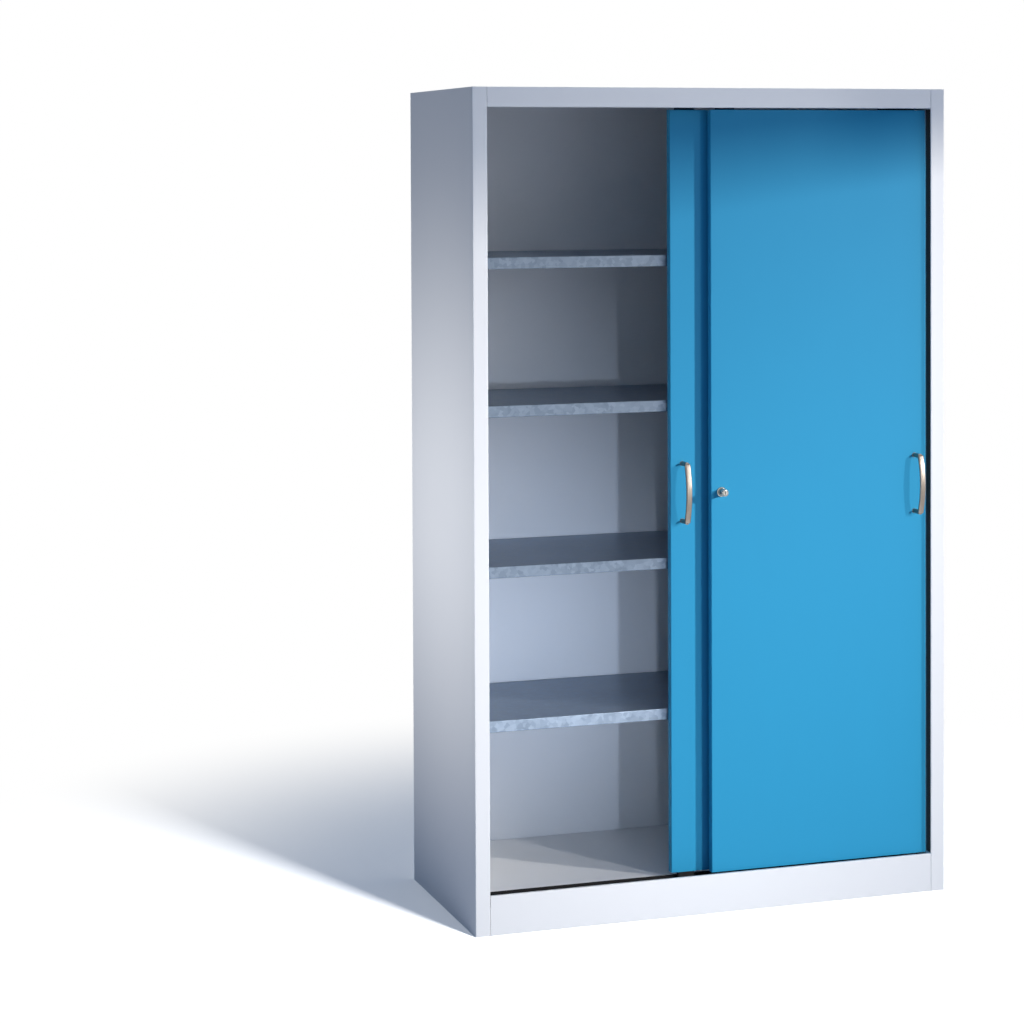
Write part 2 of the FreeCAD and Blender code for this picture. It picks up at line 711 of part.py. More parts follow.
def bottom_guide_rail():
    """Plate in the recess, with a rib under each door and a rear wall flush with the floor."""
    x_range = (-BETWEEN_POSTS, BETWEEN_POSTS)
    planes = guide_planes()
    rear = BEHIND_POSTS - PANEL_CLEARANCE
    plate_top = RECESS_FLOOR + GUIDE_PLATE
    plate = box(x_range, (planes[0] - GUIDE_MARGIN, rear), (RECESS_FLOOR, plate_top))
    wall = box(x_range, (rear - GUIDE_PLATE, rear), (RECESS_FLOOR, FLOOR_HEIGHT))
    half = GUIDE_RIB_WIDTH / 2
    ribs = [box(x_range, (y - half, y + half), (RECESS_FLOOR, GUIDE_TOP)) for y in planes]
    return joined(plate, wall, *ribs).cut(guide_rivet_holes())


def post_buffer(y, z):
    """Rubber button pressed into the return of the left post."""
    proud = DOOR_EDGE_GAP - BUFFER_GAP
    button = Part.makeCylinder(BUFFER_RADIUS, proud, V(-POST_EDGE, y, z), TO_RIGHT)
    start = V(-POST_EDGE - BODY_SHEET - BUFFER_BARB / 2, y, z)
    stem = Part.makeCylinder(
        BUFFER_STEM_RADIUS, BODY_SHEET + BUFFER_BARB / 2 + proud / 2, start, TO_RIGHT
    )
    back = V(-POST_EDGE - BODY_SHEET - BUFFER_BARB, y, z)
    barb = Part.makeCylinder(BUFFER_BARB_RADIUS, BUFFER_BARB, back, TO_RIGHT)
    return joined(button, stem, barb)


def post_seal():
    """Flat strip from the plinth to the top rail, on the return of the right post."""
    return box(
        (POST_EDGE - SEAL_THICKNESS, POST_EDGE),
        (FRONT + SEAL_MARGIN, FRONT_DOOR_FACE - SEAL_MARGIN),
        (PLINTH_HEIGHT + SEAL_MARGIN, HEIGHT - TOP_RAIL_HEIGHT - SEAL_MARGIN),
    )


def hanger_places(left, right):
    """X of a door's two rollers."""
    return left + HANGER_INSET, right - HANGER_INSET


def hanger_screw_places(left, right):
    """X of the screws that hold a door's hangers."""
    half = HANGER_SCREW_SPACING / 2
    return [x + side * half for x in hanger_places(left, right) for side in (-1, 1)]


def shoe_places(left, right):
    """X of a door's two guide shoes."""
    return left + SHOE_INSET, right - SHOE_INSET


def handle_levels():
    """Heights of a handle's two legs."""
    half = HANDLE_LEG_SPACING / 2
    return HANDLE_HEIGHT - half, HANDLE_HEIGHT + half


def door_panel(left, right, face, handle_x):
    """Pan folded back on all four edges, pierced for its handle, hangers and shoes."""
    back = face + DOOR_THICKNESS
    outline = [
        (right - DOOR_LIP, back),
        (right, back),
        (right, face),
        (left, face),
        (left, back),
        (left + DOOR_LIP, back),
    ]
    pan = folded(outline, DOOR_SHEET, along_z(DOOR_BOTTOM), UP * (DOOR_TOP - DOOR_BOTTOM))
    inside = FOLD_RADIUS + DOOR_SHEET
    x_range = (left + inside, right - inside)
    cap_y = (face + DOOR_SHEET / 2, back)
    hem_y = (back - DOOR_SHEET, back)
    caps = [
        box(x_range, cap_y, (DOOR_TOP - DOOR_SHEET, DOOR_TOP)),
        box(x_range, cap_y, (DOOR_BOTTOM, DOOR_BOTTOM + DOOR_SHEET)),
        box(x_range, hem_y, (DOOR_TOP - DOOR_HEM, DOOR_TOP)),
        box(x_range, hem_y, (DOOR_BOTTOM, DOOR_BOTTOM + DOOR_HEM)),
    ]
    screw_z = DOOR_TOP - HANGER_SCREW_DROP
    hanger_holes = [
        disc(M5_RADIUS + HOLE_CLEARANCE, x, screw_z, (back - 2 * DOOR_SHEET, back + DOOR_SHEET))
        for x in hanger_screw_places(left, right)
    ]
    handle_holes = [
        disc(M4_RADIUS + HOLE_CLEARANCE, handle_x, z, (face - DOOR_SHEET, face + 2 * DOOR_SHEET))
        for z in handle_levels()
    ]
    middle = face + DOOR_THICKNESS / 2
    peg_z = (DOOR_BOTTOM - DOOR_SHEET, DOOR_BOTTOM + 2 * DOOR_SHEET)
    peg_holes = [
        post(SHOE_PEG_RADIUS + RUNNING_FIT, x, middle, peg_z) for x in shoe_places(left, right)
    ]
    return joined(pan, *caps).cut(hanger_holes + handle_holes + peg_holes)


def door_stiffener(left, right, face):
    """Upright hat section on the inside of a door's face."""
    corners = hat(
        (left + right) / 2, face + DOOR_SHEET, DOOR_STIFFENER_CROWN, DOOR_STIFFENER_DEPTH, 1
    )
    start = DOOR_BOTTOM + DOOR_STIFFENER_MARGIN
    height = DOOR_TOP - DOOR_STIFFENER_MARGIN - start
    return folded(corners, STIFFENER_SHEET, along_z(start), UP * height)


def hanger(x, back):
    """Plate on the door's back that rises into the track and carries the axle."""
    plate = box(
        (x - HANGER_WIDTH / 2, x + HANGER_WIDTH / 2),
        (back, back + HANGER_SHEET),
        (DOOR_TOP - DOOR_HEM, AXLE_HEIGHT + HANGER_HEAD),
    )
    y_range = (back - HANGER_SHEET, back + 2 * HANGER_SHEET)
    half = HANGER_SCREW_SPACING / 2
    holes = [
        disc(M5_RADIUS + HOLE_CLEARANCE, x + side * half, DOOR_TOP - HANGER_SCREW_DROP, y_range)
        for side in (-1, 1)
    ]
    axle_hole = disc(AXLE_RADIUS + RUNNING_FIT, x, AXLE_HEIGHT, y_range)
    return plate.cut([*holes, axle_hole])


def hanger_screw(x, back):
    """Screw through a hanger and the door's top hem, and the nut behind it."""
    z = DOOR_TOP - HANGER_SCREW_DROP
    outer = back + HANGER_SHEET
    nut_y = (back - DOOR_SHEET - M5_NUT, back - DOOR_SHEET)
    shank = disc(M5_RADIUS, x, z, (nut_y[0], outer + M5_HEAD / 2))
    head = disc(M5_HEAD_RADIUS, x, z, (outer, outer + M5_HEAD))
    nut = ring(M5_NUT_RADIUS, M5_RADIUS + THREAD_CLEARANCE, x, z, nut_y)
    return joined(shank, head), nut


def axle(x, back):
    """Pin riveted into a hanger, with a shoulder and a head each side of the bearing."""
    plane = run_plane(back)
    half = BEARING_WIDTH / 2 + AXLE_END_PLAY
    head = disc(AXLE_HEAD_RADIUS, x, AXLE_HEIGHT, (plane - half - AXLE_HEAD, plane - half))
    rear = back + HANGER_SHEET
    shank = disc(AXLE_RADIUS, x, AXLE_HEIGHT, (plane - half - AXLE_HEAD / 2, rear + AXLE_RIVET / 2))
    shoulder = disc(AXLE_SHOULDER_RADIUS, x, AXLE_HEIGHT, (plane + half, back))
    rivet = disc(AXLE_HEAD_RADIUS, x, AXLE_HEIGHT, (rear, rear + AXLE_RIVET))
    return joined(head, shank, shoulder, rivet)


def turned(x, z, plane, profile):
    """Closed (radius, offset along Y) profile turned about the Y axis through x, z."""
    points = [V(x + radius, plane + offset, z) for radius, offset in profile]
    face = Part.Face(Part.makePolygon(points + points[:1]))
    return face.revolve(V(x, plane, z), TO_BACK, 360)


def roller(x, back):
    """Grooved plastic roller that runs on a rib of the track."""
    half = ROLLER_WIDTH / 2
    groove = ROLLER_GROOVE / 2
    flank = groove + ROLLER_RADIUS - ROLLER_TREAD_RADIUS
    bore = BEARING_RADIUS + PRESS_SEAT
    rim = ROLLER_RADIUS - ROLLER_CHAMFER
    one_side = [
        (bore, half),
        (rim, half),
        (ROLLER_RADIUS, half - ROLLER_CHAMFER),
        (ROLLER_RADIUS, min(flank, half - ROLLER_CHAMFER - RUNNING_FIT)),
        (ROLLER_TREAD_RADIUS, groove),
    ]
    other_side = [(radius, -offset) for radius, offset in reversed(one_side)]
    return turned(x, AXLE_HEIGHT, run_plane(back), one_side + other_side)


def bearing(x, back):
    """Shielded ball bearing in the roller, turning on the axle."""
    half = BEARING_WIDTH / 2
    bore = AXLE_RADIUS + RUNNING_FIT
    inner_race = bore + BEARING_RADIUS - SHIELD_RADIUS
    one_side = [
        (bore, half),
        (inner_race, half),
        (inner_race, half - SHIELD_DEPTH),
        (SHIELD_RADIUS, half - SHIELD_DEPTH),
        (SHIELD_RADIUS, half),
        (BEARING_RADIUS, half),
    ]
    other_side = [(radius, -offset) for radius, offset in reversed(one_side)]
    return turned(x, AXLE_HEIGHT, run_plane(back), one_side + other_side)


def guide_shoe(x, face):
    """Plastic shoe pegged under a door, astride a rib of the guide rail."""
    middle = face + DOOR_THICKNESS / 2
    bottom = RECESS_FLOOR + GUIDE_PLATE + SHOE_GROUND_GAP
    x_range = (x - SHOE_LENGTH / 2, x + SHOE_LENGTH / 2)
    block = box(x_range, (middle - SHOE_WIDTH / 2, middle + SHOE_WIDTH / 2), (bottom, DOOR_BOTTOM))
    half = GUIDE_RIB_WIDTH / 2 + SHOE_SLOT_CLEARANCE
    slot = box(
        (x - SHOE_LENGTH, x + SHOE_LENGTH),
        (middle - half, middle + half),
        (bottom - SHOE_GROUND_GAP, GUIDE_TOP + SHOE_SLOT_HEADROOM),
    )
    inside = DOOR_BOTTOM + DOOR_SHEET
    peg = post(SHOE_PEG_RADIUS, x, middle, (DOOR_BOTTOM - RUNNING_FIT, inside + SHOE_PEG_HEAD / 2))
    head = post(SHOE_PEG_HEAD_RADIUS, x, middle, (inside, inside + SHOE_PEG_HEAD))
    return joined(block.cut(slot), peg, head)


def handle(x, face):
    """Bow handle: an arched bar on two round legs, each bored for its screw."""
    half_chord = HANDLE_LEG_SPACING / 2 + GRIP_OVERHANG
    radius = (half_chord**2 + HANDLE_BOW**2) / (2 * HANDLE_BOW)
    reach = HANDLE_END_REACH + HANDLE_BOW
    swing = math.asin(half_chord / radius)
    half = GRIP_THICKNESS / 2

    def spot(distance, angle, beyond=0.0):
        """Point of the bow's side view, at a distance and angle from its centre."""
        out = distance * math.cos(angle) - radius + reach - beyond * math.sin(swing)
        rise = distance * math.sin(angle) + math.copysign(beyond * math.cos(swing), angle)
        return V(x - GRIP_WIDTH / 2, face - out, HANDLE_HEIGHT + rise)

    outer, inner = radius + half, radius - half
    edges = [
        Part.Arc(spot(outer, -swing), spot(outer, 0), spot(outer, swing)).toShape(),
        Part.Arc(spot(outer, swing), spot(radius, swing, half), spot(inner, swing)).toShape(),
        Part.Arc(spot(inner, swing), spot(inner, 0), spot(inner, -swing)).toShape(),
        Part.Arc(spot(inner, -swing), spot(radius, -swing, half), spot(outer, -swing)).toShape(),
    ]
    grip = Part.Face(Part.Wire(edges)).extrude(TO_RIGHT * GRIP_WIDTH)
    rims = [edge for edge in grip.Edges if edge.BoundBox.XLength < GRIP_EDGE_RADIUS]
    grip = grip.makeFillet(GRIP_EDGE_RADIUS, rims)
    legs = [disc(HANDLE_LEG_RADIUS, x, z, (face - HANDLE_END_REACH, face)) for z in handle_levels()]
    bores = [
        disc(M4_RADIUS + THREAD_CLEARANCE, x, z, (face - HANDLE_BORE_DEPTH, face))
        for z in handle_levels()
    ]
    return joined(grip, *legs).cut(bores)


def handle_screw(x, z, face):
    """Screw from inside the door into a leg of the handle."""
    inside = face + DOOR_SHEET
    shank = disc(M4_RADIUS, x, z, (face - HANDLE_SCREW_DEPTH, inside + HANDLE_SCREW_HEAD / 2))
    head = disc(HANDLE_SCREW_HEAD_RADIUS, x, z, (inside, inside + HANDLE_SCREW_HEAD))
    return joined(shank, head)


def lock_bar(radius, start, end):
    """Round bar on the lock's axis, its ends counted from the front door's face."""
    return disc(radius, LOCK_X, LOCK_HEIGHT, (FRONT_DOOR_FACE + start, FRONT_DOOR_FACE + end))


def lock_housing():
    """Rosette and sleeve, closed behind by a cap that guides the pin."""
    rosette = lock_bar(ROSETTE_RADIUS, -ROSETTE_THICKNESS, 0)
    rosette = rosette.makeChamfer(
        LOCK_FACE_CHAMFER,
        [e for e in rosette.Edges if e.BoundBox.YMax < FRONT_DOOR_FACE - ROSETTE_THICKNESS / 2],
    )
    sleeve = lock_bar(LOCK_SLEEVE_RADIUS, -ROSETTE_THICKNESS / 2, LOCK_SLEEVE_LENGTH)
    bore = lock_bar(
        LOCK_CYLINDER_RADIUS + RUNNING_FIT, -2 * ROSETTE_THICKNESS, LOCK_SLEEVE_LENGTH - LOCK_CAP
    )
    pin_hole = lock_bar(LOCK_PIN_RADIUS + RUNNING_FIT, 0, 2 * LOCK_SLEEVE_LENGTH)
    return joined(rosette, sleeve).cut([bore, pin_hole])


def lock_nut():
    """Hexagonal nut that clamps the housing to the door's sheet."""
    corners = [
        V(
            LOCK_X + LOCK_NUT_RADIUS * math.cos(math.radians(60 * i)),
            FRONT_DOOR_FACE + DOOR_SHEET,
            LOCK_HEIGHT + LOCK_NUT_RADIUS * math.sin(math.radians(60 * i)),
        )
        for i in range(7)
    ]
    blank = Part.Face(Part.makePolygon(corners)).extrude(TO_BACK * LOCK_NUT_THICKNESS)
    bore = lock_bar(LOCK_SLEEVE_RADIUS + THREAD_CLEARANCE, 0, DOOR_THICKNESS)
    return blank.cut(bore)


def lock_cylinder():
    """Barrel that the hand pushes in, bored for the core, the pin and the spring."""
    barrel = lock_bar(LOCK_CYLINDER_RADIUS, -LOCK_PROUD, LOCK_CYLINDER_SEAT)
    barrel = barrel.makeChamfer(
        LOCK_FACE_CHAMFER,
        [e for e in barrel.Edges if e.BoundBox.YMax < FRONT_DOOR_FACE - LOCK_PROUD / 2],
    )
    core_bore = lock_bar(CORE_RADIUS + RUNNING_FIT, -2 * LOCK_PROUD, -LOCK_PROUD + CORE_LENGTH)
    spring_floor = LOCK_CYLINDER_SEAT - SPRING_BORE_DEPTH
    spring_bore = lock_bar(SPRING_BORE_RADIUS, spring_floor, 2 * LOCK_CYLINDER_SEAT)
    pin_seat = lock_bar(LOCK_PIN_RADIUS + THREAD_CLEARANCE, spring_floor - LOCK_PIN_SEAT, 0)
    return barrel.cut([core_bore, spring_bore, pin_seat])


def lock_core():
    """Plug that the key turns, with its keyway."""
    core = lock_bar(CORE_RADIUS, -LOCK_PROUD, -LOCK_PROUD + CORE_LENGTH - RUNNING_FIT)
    face = FRONT_DOOR_FACE - LOCK_PROUD
    keyway = box(
        (LOCK_X - KEYWAY_WIDTH / 2, LOCK_X + KEYWAY_WIDTH / 2),
        (face - 1, face + KEYWAY_DEPTH),
        (LOCK_HEIGHT - KEYWAY_HEIGHT / 2, LOCK_HEIGHT + KEYWAY_HEIGHT / 2),
    )
    return core.cut(keyway)


def lock_pin():
    """Locking pin screwed into the barrel."""
    start = LOCK_CYLINDER_SEAT - SPRING_BORE_DEPTH - LOCK_PIN_SEAT
    return lock_bar(LOCK_PIN_RADIUS, start, LOCK_PIN_REACH)


def lock_spring():
    """Coil spring round the pin, between the barrel and the housing's cap."""
    start = LOCK_CYLINDER_SEAT - SPRING_BORE_DEPTH + SPRING_END_GAP
    end = LOCK_SLEEVE_LENGTH - LOCK_CAP - SPRING_END_GAP
    length = end - start - SPRING_WIRE
    coil_radius = (LOCK_PIN_RADIUS + SPRING_BORE_RADIUS) / 2
    helix = Part.makeHelix(length / SPRING_TURNS, length, coil_radius)
    wire = Part.Wire(Part.makeCircle(SPRING_WIRE / 2, V(coil_radius, 0, 0), TO_BACK))
    coil = Part.Wire(helix.Edges).makePipeShell([wire], True, True)
    coil.rotate(ORIGIN, TO_RIGHT, -90)
    coil.translate(V(LOCK_X, FRONT_DOOR_FACE + start + SPRING_WIRE / 2, LOCK_HEIGHT))
    return coil


def lock_hole():
    """Bar that pierces the front door for the lock's sleeve."""
    return lock_bar(LOCK_SLEEVE_RADIUS + HOLE_CLEARANCE, -DOOR_SHEET, 2 * DOOR_SHEET)


def strike_bar(radius, start, end):
    """Round bar on the strike's axis, its ends counted from the rear door's face."""
    return disc(radius, STRIKE_X, LOCK_HEIGHT, (REAR_DOOR_FACE + start, REAR_DOOR_FACE + end))


def strike_bush():
    """Bush riveted into the rear door that the pin enters when both doors are shut."""
    rear = DOOR_SHEET + STRIKE_REAR_THICKNESS
    collar = strike_bar(STRIKE_RADIUS, -STRIKE_PROUD, 0)
    neck = strike_bar(STRIKE_NECK_RADIUS, -STRIKE_PROUD / 2, rear)
    flange = strike_bar(STRIKE_REAR_RADIUS, DOOR_SHEET, rear)
    bore = strike_bar(LOCK_PIN_RADIUS + STRIKE_CLEARANCE, -2 * STRIKE_PROUD, 2 * rear)
    return joined(collar, neck, flange).cut(bore)


def strike_hole():
    """Bar that pierces the rear door for the strike's neck."""
    return strike_bar(STRIKE_NECK_RADIUS + RUNNING_FIT, -DOOR_SHEET, 2 * DOOR_SHEET)


def build_carcase():
    """Panels, front frame, tracks and stops."""
    front_plane, rear_plane = guide_planes()
    save("left_side_panel", side_panel(rear_plane))
    save("right_side_panel", mirrored(side_panel(front_plane)))
    save("back_panel", back_panel())
    save("top_panel", top_panel())
    save("floor_panel", floor_panel())
    offset = FLOOR_STIFFENER_OFFSET
    save("floor_stiffeners", floor_stiffener(-offset), floor_stiffener(offset))
    save("top_rail", top_rail())
    save("plinth", plinth())
    save("top_track", top_track())
    places, y = track_screw_places()
    save("top_track_screws", *[track_screw(x, y) for x in places])
    front_edge = hanger_places(FRONT_DOOR_LEFT, FRONT_DOOR_RIGHT)[0] - HANGER_WIDTH / 2
    rear_edge = hanger_places(REAR_DOOR_LEFT, REAR_DOOR_RIGHT)[1] + HANGER_WIDTH / 2
    save(
        "track_stops",
        track_stop(front_edge - FRONT_DOOR_FULL_TRAVEL, FRONT_DOOR_BACK, -1),
        track_stop(rear_edge, REAR_DOOR_BACK, 1),
    )
    save("bottom_guide_rail", bottom_guide_rail())
    places, y = guide_rivet_places()
    save("guide_rail_rivets", *[guide_rivet(x, y) for x in places])
    save("left_post_buffers", *[post_buffer(rear_plane, z) for z in BUFFER_HEIGHTS])
    save("right_post_buffers", *[mirrored(post_buffer(front_plane, z)) for z in BUFFER_HEIGHTS])
    save("right_post_seal", post_seal())


def build_shelves():
    """Slotted rails, shelves with their stiffeners, and the clips that carry them."""
    rail_fronts = {
        "front": FRONT + FRONT_SHELF_RAIL_SETBACK,
        "rear": BACK_OUTER - REAR_SHELF_RAIL_GAP - SHELF_RAIL_WIDTH,
    }
    for place, front_y in rail_fronts.items():
        rail = shelf_rail(front_y)
        save(f"left_{place}_shelf_rail", rail)
        save(f"right_{place}_shelf_rail", mirrored(rail))
    clips = []
    for number, row in enumerate(SHELF_ROWS, start=1):
        save(f"shelf_{number}", shelf(row))
        save(f"shelf_{number}_stiffener", shelf_stiffener(row))
        left_clips = [shelf_clip(row, front_y) for front_y in rail_fronts.values()]
        clips += left_clips + [mirrored(clip) for clip in left_clips]
    save("shelf_clips", *clips)


def build_door(name, left, right, face, handle_x, extra_holes):
    """One door with everything that slides with it, and its two rollers."""
    back = face + DOOR_THICKNESS
    save(f"{name}_door_panel", door_panel(left, right, face, handle_x).cut(extra_holes))
    save(f"{name}_door_stiffener", door_stiffener(left, right, face))
    roller_x = hanger_places(left, right)
    save(f"{name}_hangers", *[hanger(x, back) for x in roller_x])
    screws = [hanger_screw(x, back) for x in hanger_screw_places(left, right)]
    save(f"{name}_hanger_screws", *[solid for pair in screws for solid in pair])
    save(f"{name}_roller_axles", *[axle(x, back) for x in roller_x])
    for side, x in zip(("left", "right"), roller_x):
        save(f"{name}_{side}_roller", roller(x, back))
        save(f"{name}_{side}_bearing", bearing(x, back))
    save(f"{name}_guides", *[guide_shoe(x, face) for x in shoe_places(left, right)])
    save(f"{name}_handle", handle(handle_x, face))
    save(f"{name}_handle_screws", *[handle_screw(handle_x, z, face) for z in handle_levels()])


def build_lock():
    """Push lock of the front door and the strike on the rear door."""
    save("lock_housing", lock_housing())
    save("lock_nut", lock_nut())
    save("lock_spring", lock_spring())
    save("lock_cylinder", lock_cylinder())
    save("lock_pin", lock_pin())
    save("lock_core", lock_core())
    save("strike_bush", strike_bush())


os.makedirs("parts", exist_ok=True)
build_carcase()
build_shelves()
build_door(
    "front",
    FRONT_DOOR_LEFT,
    FRONT_DOOR_RIGHT,
    FRONT_DOOR_FACE,
    FRONT_DOOR_RIGHT - HANDLE_INSET,
    [lock_hole()],
)
build_door(
    "rear",
    REAR_DOOR_LEFT,
    REAR_DOOR_RIGHT,
    REAR_DOOR_FACE,
    REAR_DOOR_LEFT + HANDLE_INSET,
    [strike_hole()],
)
build_lock()
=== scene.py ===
"""Sheet steel cabinet with two sliding doors: finishes, handles, lock, fasteners, stage and light.

Metres, +Z up, +X to the right, the doors face -Y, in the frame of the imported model. Sizes that are
held in fields of the sub-assemblies are in millimetres.
"""

import logging
import math
from abc import ABC, abstractmethod
from collections.abc import Sequence
from dataclasses import dataclass
from enum import Enum

import bmesh
import bpy
from bpy.types import ID, Collection, Material, Mesh, Node, NodeTree, Object
from bpy.types import NodeSocket as Socket
from mathutils import Matrix, Vector


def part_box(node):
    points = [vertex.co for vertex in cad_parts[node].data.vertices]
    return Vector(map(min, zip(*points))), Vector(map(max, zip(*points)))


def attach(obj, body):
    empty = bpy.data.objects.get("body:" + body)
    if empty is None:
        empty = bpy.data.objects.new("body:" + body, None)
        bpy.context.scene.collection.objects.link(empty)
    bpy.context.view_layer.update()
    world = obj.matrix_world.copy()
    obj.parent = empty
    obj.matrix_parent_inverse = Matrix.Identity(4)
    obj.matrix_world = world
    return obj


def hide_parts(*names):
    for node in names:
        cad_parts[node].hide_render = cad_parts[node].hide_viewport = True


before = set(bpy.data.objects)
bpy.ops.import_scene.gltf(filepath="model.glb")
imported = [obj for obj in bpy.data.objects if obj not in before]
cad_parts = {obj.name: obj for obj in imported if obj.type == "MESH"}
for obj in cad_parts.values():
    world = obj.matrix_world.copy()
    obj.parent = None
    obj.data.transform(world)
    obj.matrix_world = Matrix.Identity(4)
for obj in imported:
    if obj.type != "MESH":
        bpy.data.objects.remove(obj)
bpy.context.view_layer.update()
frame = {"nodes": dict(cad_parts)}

MM = 0.001
log = logging.getLogger("cabinet")

Colour = tuple[float, float, float]
Point = tuple[float, float, float]
Masks = tuple[Socket, Socket, Socket]
WHITE: Colour = (1.0, 1.0, 1.0)


class Slot(Enum):
    """Material slots of the record."""

    BODY_PAINT = "body_paint"
    DOOR_PAINT = "door_paint"
    GALVANISED = "galvanised_steel"
    ZINC = "zinc_plated_steel"
    NICKEL = "satin_nickel"
    CHROME = "chrome"
    SPRING = "spring_steel"
    BEARING = "bearing_steel"
    CORE = "lock_core_brass"
    NYLON = "nylon"
    BLACK_NYLON = "black_nylon"
    RUBBER = "rubber"
    # Black finish that is partly painted shade: it makes the door hangers and their screws black in the
    # gap under the top rail, and the bottom guide rail and its rivets black in the recess behind the
    # plinth, where these places lie in shade.
    BLACK_STEEL_PAINTED_SHADE = "black_steel"


class Grain(Enum):
    """Direction that a brushed or rolled grain runs in, as the scale of the pattern along X, Y, Z."""

    ALONG_X = (0.03, 1.0, 1.0)
    ALONG_Y = (1.0, 0.03, 1.0)
    ALONG_Z = (1.0, 1.0, 0.03)


class Effect(Enum):
    """Shader groups that the finishes are made from."""

    PEEL = "powder_skin"
    MARKS = "handling_marks"
    GRAIN = "metal_grain"
    SPANGLE = "zinc_crystals"


class Linking(Enum):
    """How a lamp takes a list of objects: these alone, or all but these."""

    ONLY = "INCLUDE"
    ALL_BUT = "EXCLUDE"


class Sheet:
    """A node tree with short calls that add and join nodes."""

    def __init__(self, tree: NodeTree) -> None:
        """Keeps the tree."""
        self.tree = tree

    def feed(self, socket: Socket, value: object) -> None:
        """Sets an input, or links it where the value is another socket.

        Args:
            socket: The input.
            value: A plain value or an output.
        """
        if isinstance(value, Socket):
            self.tree.links.new(value, socket)
        else:
            socket.default_value = value

    def fill(self, node: Node, inputs: dict[str | int, object]) -> Node:
        """Feeds a node's inputs, by name or number, and returns the node."""
        for key, value in inputs.items():
            self.feed(node.inputs[key], value)
        return node

    def node(
        self, kind: str, inputs: dict[str | int, object] | None = None, **settings: object
    ) -> Node:
        """Adds a node.

        Args:
            kind: Type name of the node.
            inputs: A value or an output socket for each input, by name or number.
            settings: Properties of the node.

        Returns:
            The new node.
        """
        made = self.tree.nodes.new(kind)
        for name, value in settings.items():
            setattr(made, name, value)
        return self.fill(made, inputs or {})

    def group(self, effect: Effect, **inputs: object) -> Node:
        """Adds a shared group with its inputs, and returns its node."""
        return self.node("ShaderNodeGroup", inputs, node_tree=bpy.data.node_groups[effect.value])

    def point(self, **parts: object) -> Socket:
        """Joins X, Y and Z, each 0 where it is left out, and returns the vector's socket."""
        return self.node("ShaderNodeCombineXYZ", parts).outputs[0]

    def math(self, operation: str, *values: object, clamp: bool = False) -> Socket:
        """Adds a Math node for numbers or sockets, and returns the result's socket."""
        inputs = dict(enumerate(values))
        return self.node("ShaderNodeMath", inputs, operation=operation, use_clamp=clamp).outputs[0]

    def weighed(self, *parts: tuple[Socket, float]) -> Socket:
        """Adds values up, each times its share, and returns the sum's socket."""
        total, *others = [self.math("MULTIPLY", value, share) for value, share in parts]
        for other in others:
            total = self.math("ADD", total, other)
        return total

    def remap(self, value: object, low: float, high: float) -> Socket:
        """Spreads a 0 to 1 value between low and high, and returns the result's socket."""
        made = self.node("ShaderNodeMapRange", {"Value": value, "To Min": low, "To Max": high})
        return made.outputs["Result"]

    def blend(self, factor: Socket, first: Socket | Colour, second: Socket | Colour) -> Socket:
        """Mixes two colours, each a socket or three numbers, and returns the result's socket."""
        a, b = (c if isinstance(c, Socket) else (*c, 1.0) for c in (first, second))
        return self.node("ShaderNodeMix", {0: factor, 6: a, 7: b}, data_type="RGBA").outputs[2]

    def noise(self, place: Socket, scale: object, detail: float, rough: float = 0.5) -> Node:
        """Adds a noise texture with its finer layers, and returns its node."""
        inputs = {"Vector": place, "Scale": scale, "Detail": detail, "Roughness": rough}
        return self.node("ShaderNodeTexNoise", inputs)

    def bump(self, height: Socket, strength: Socket) -> Socket:
        """Adds a bump at most 0.2 mm deep, and returns its normal's socket."""
        inputs = {"Height": height, "Strength": strength, "Distance": 0.2 * MM}
        return self.node("ShaderNodeBump", inputs).outputs["Normal"]

    def seen(self) -> Socket:
        """The socket of 1 for rays from the camera, reflections and glass, and 0 for the rest."""
        rays = self.node("ShaderNodeLightPath").outputs
        mirrored = self.math("MAXIMUM", rays["Is Camera Ray"], rays["Is Glossy Ray"])
        return self.math("MAXIMUM", mirrored, rays["Is Transmission Ray"])


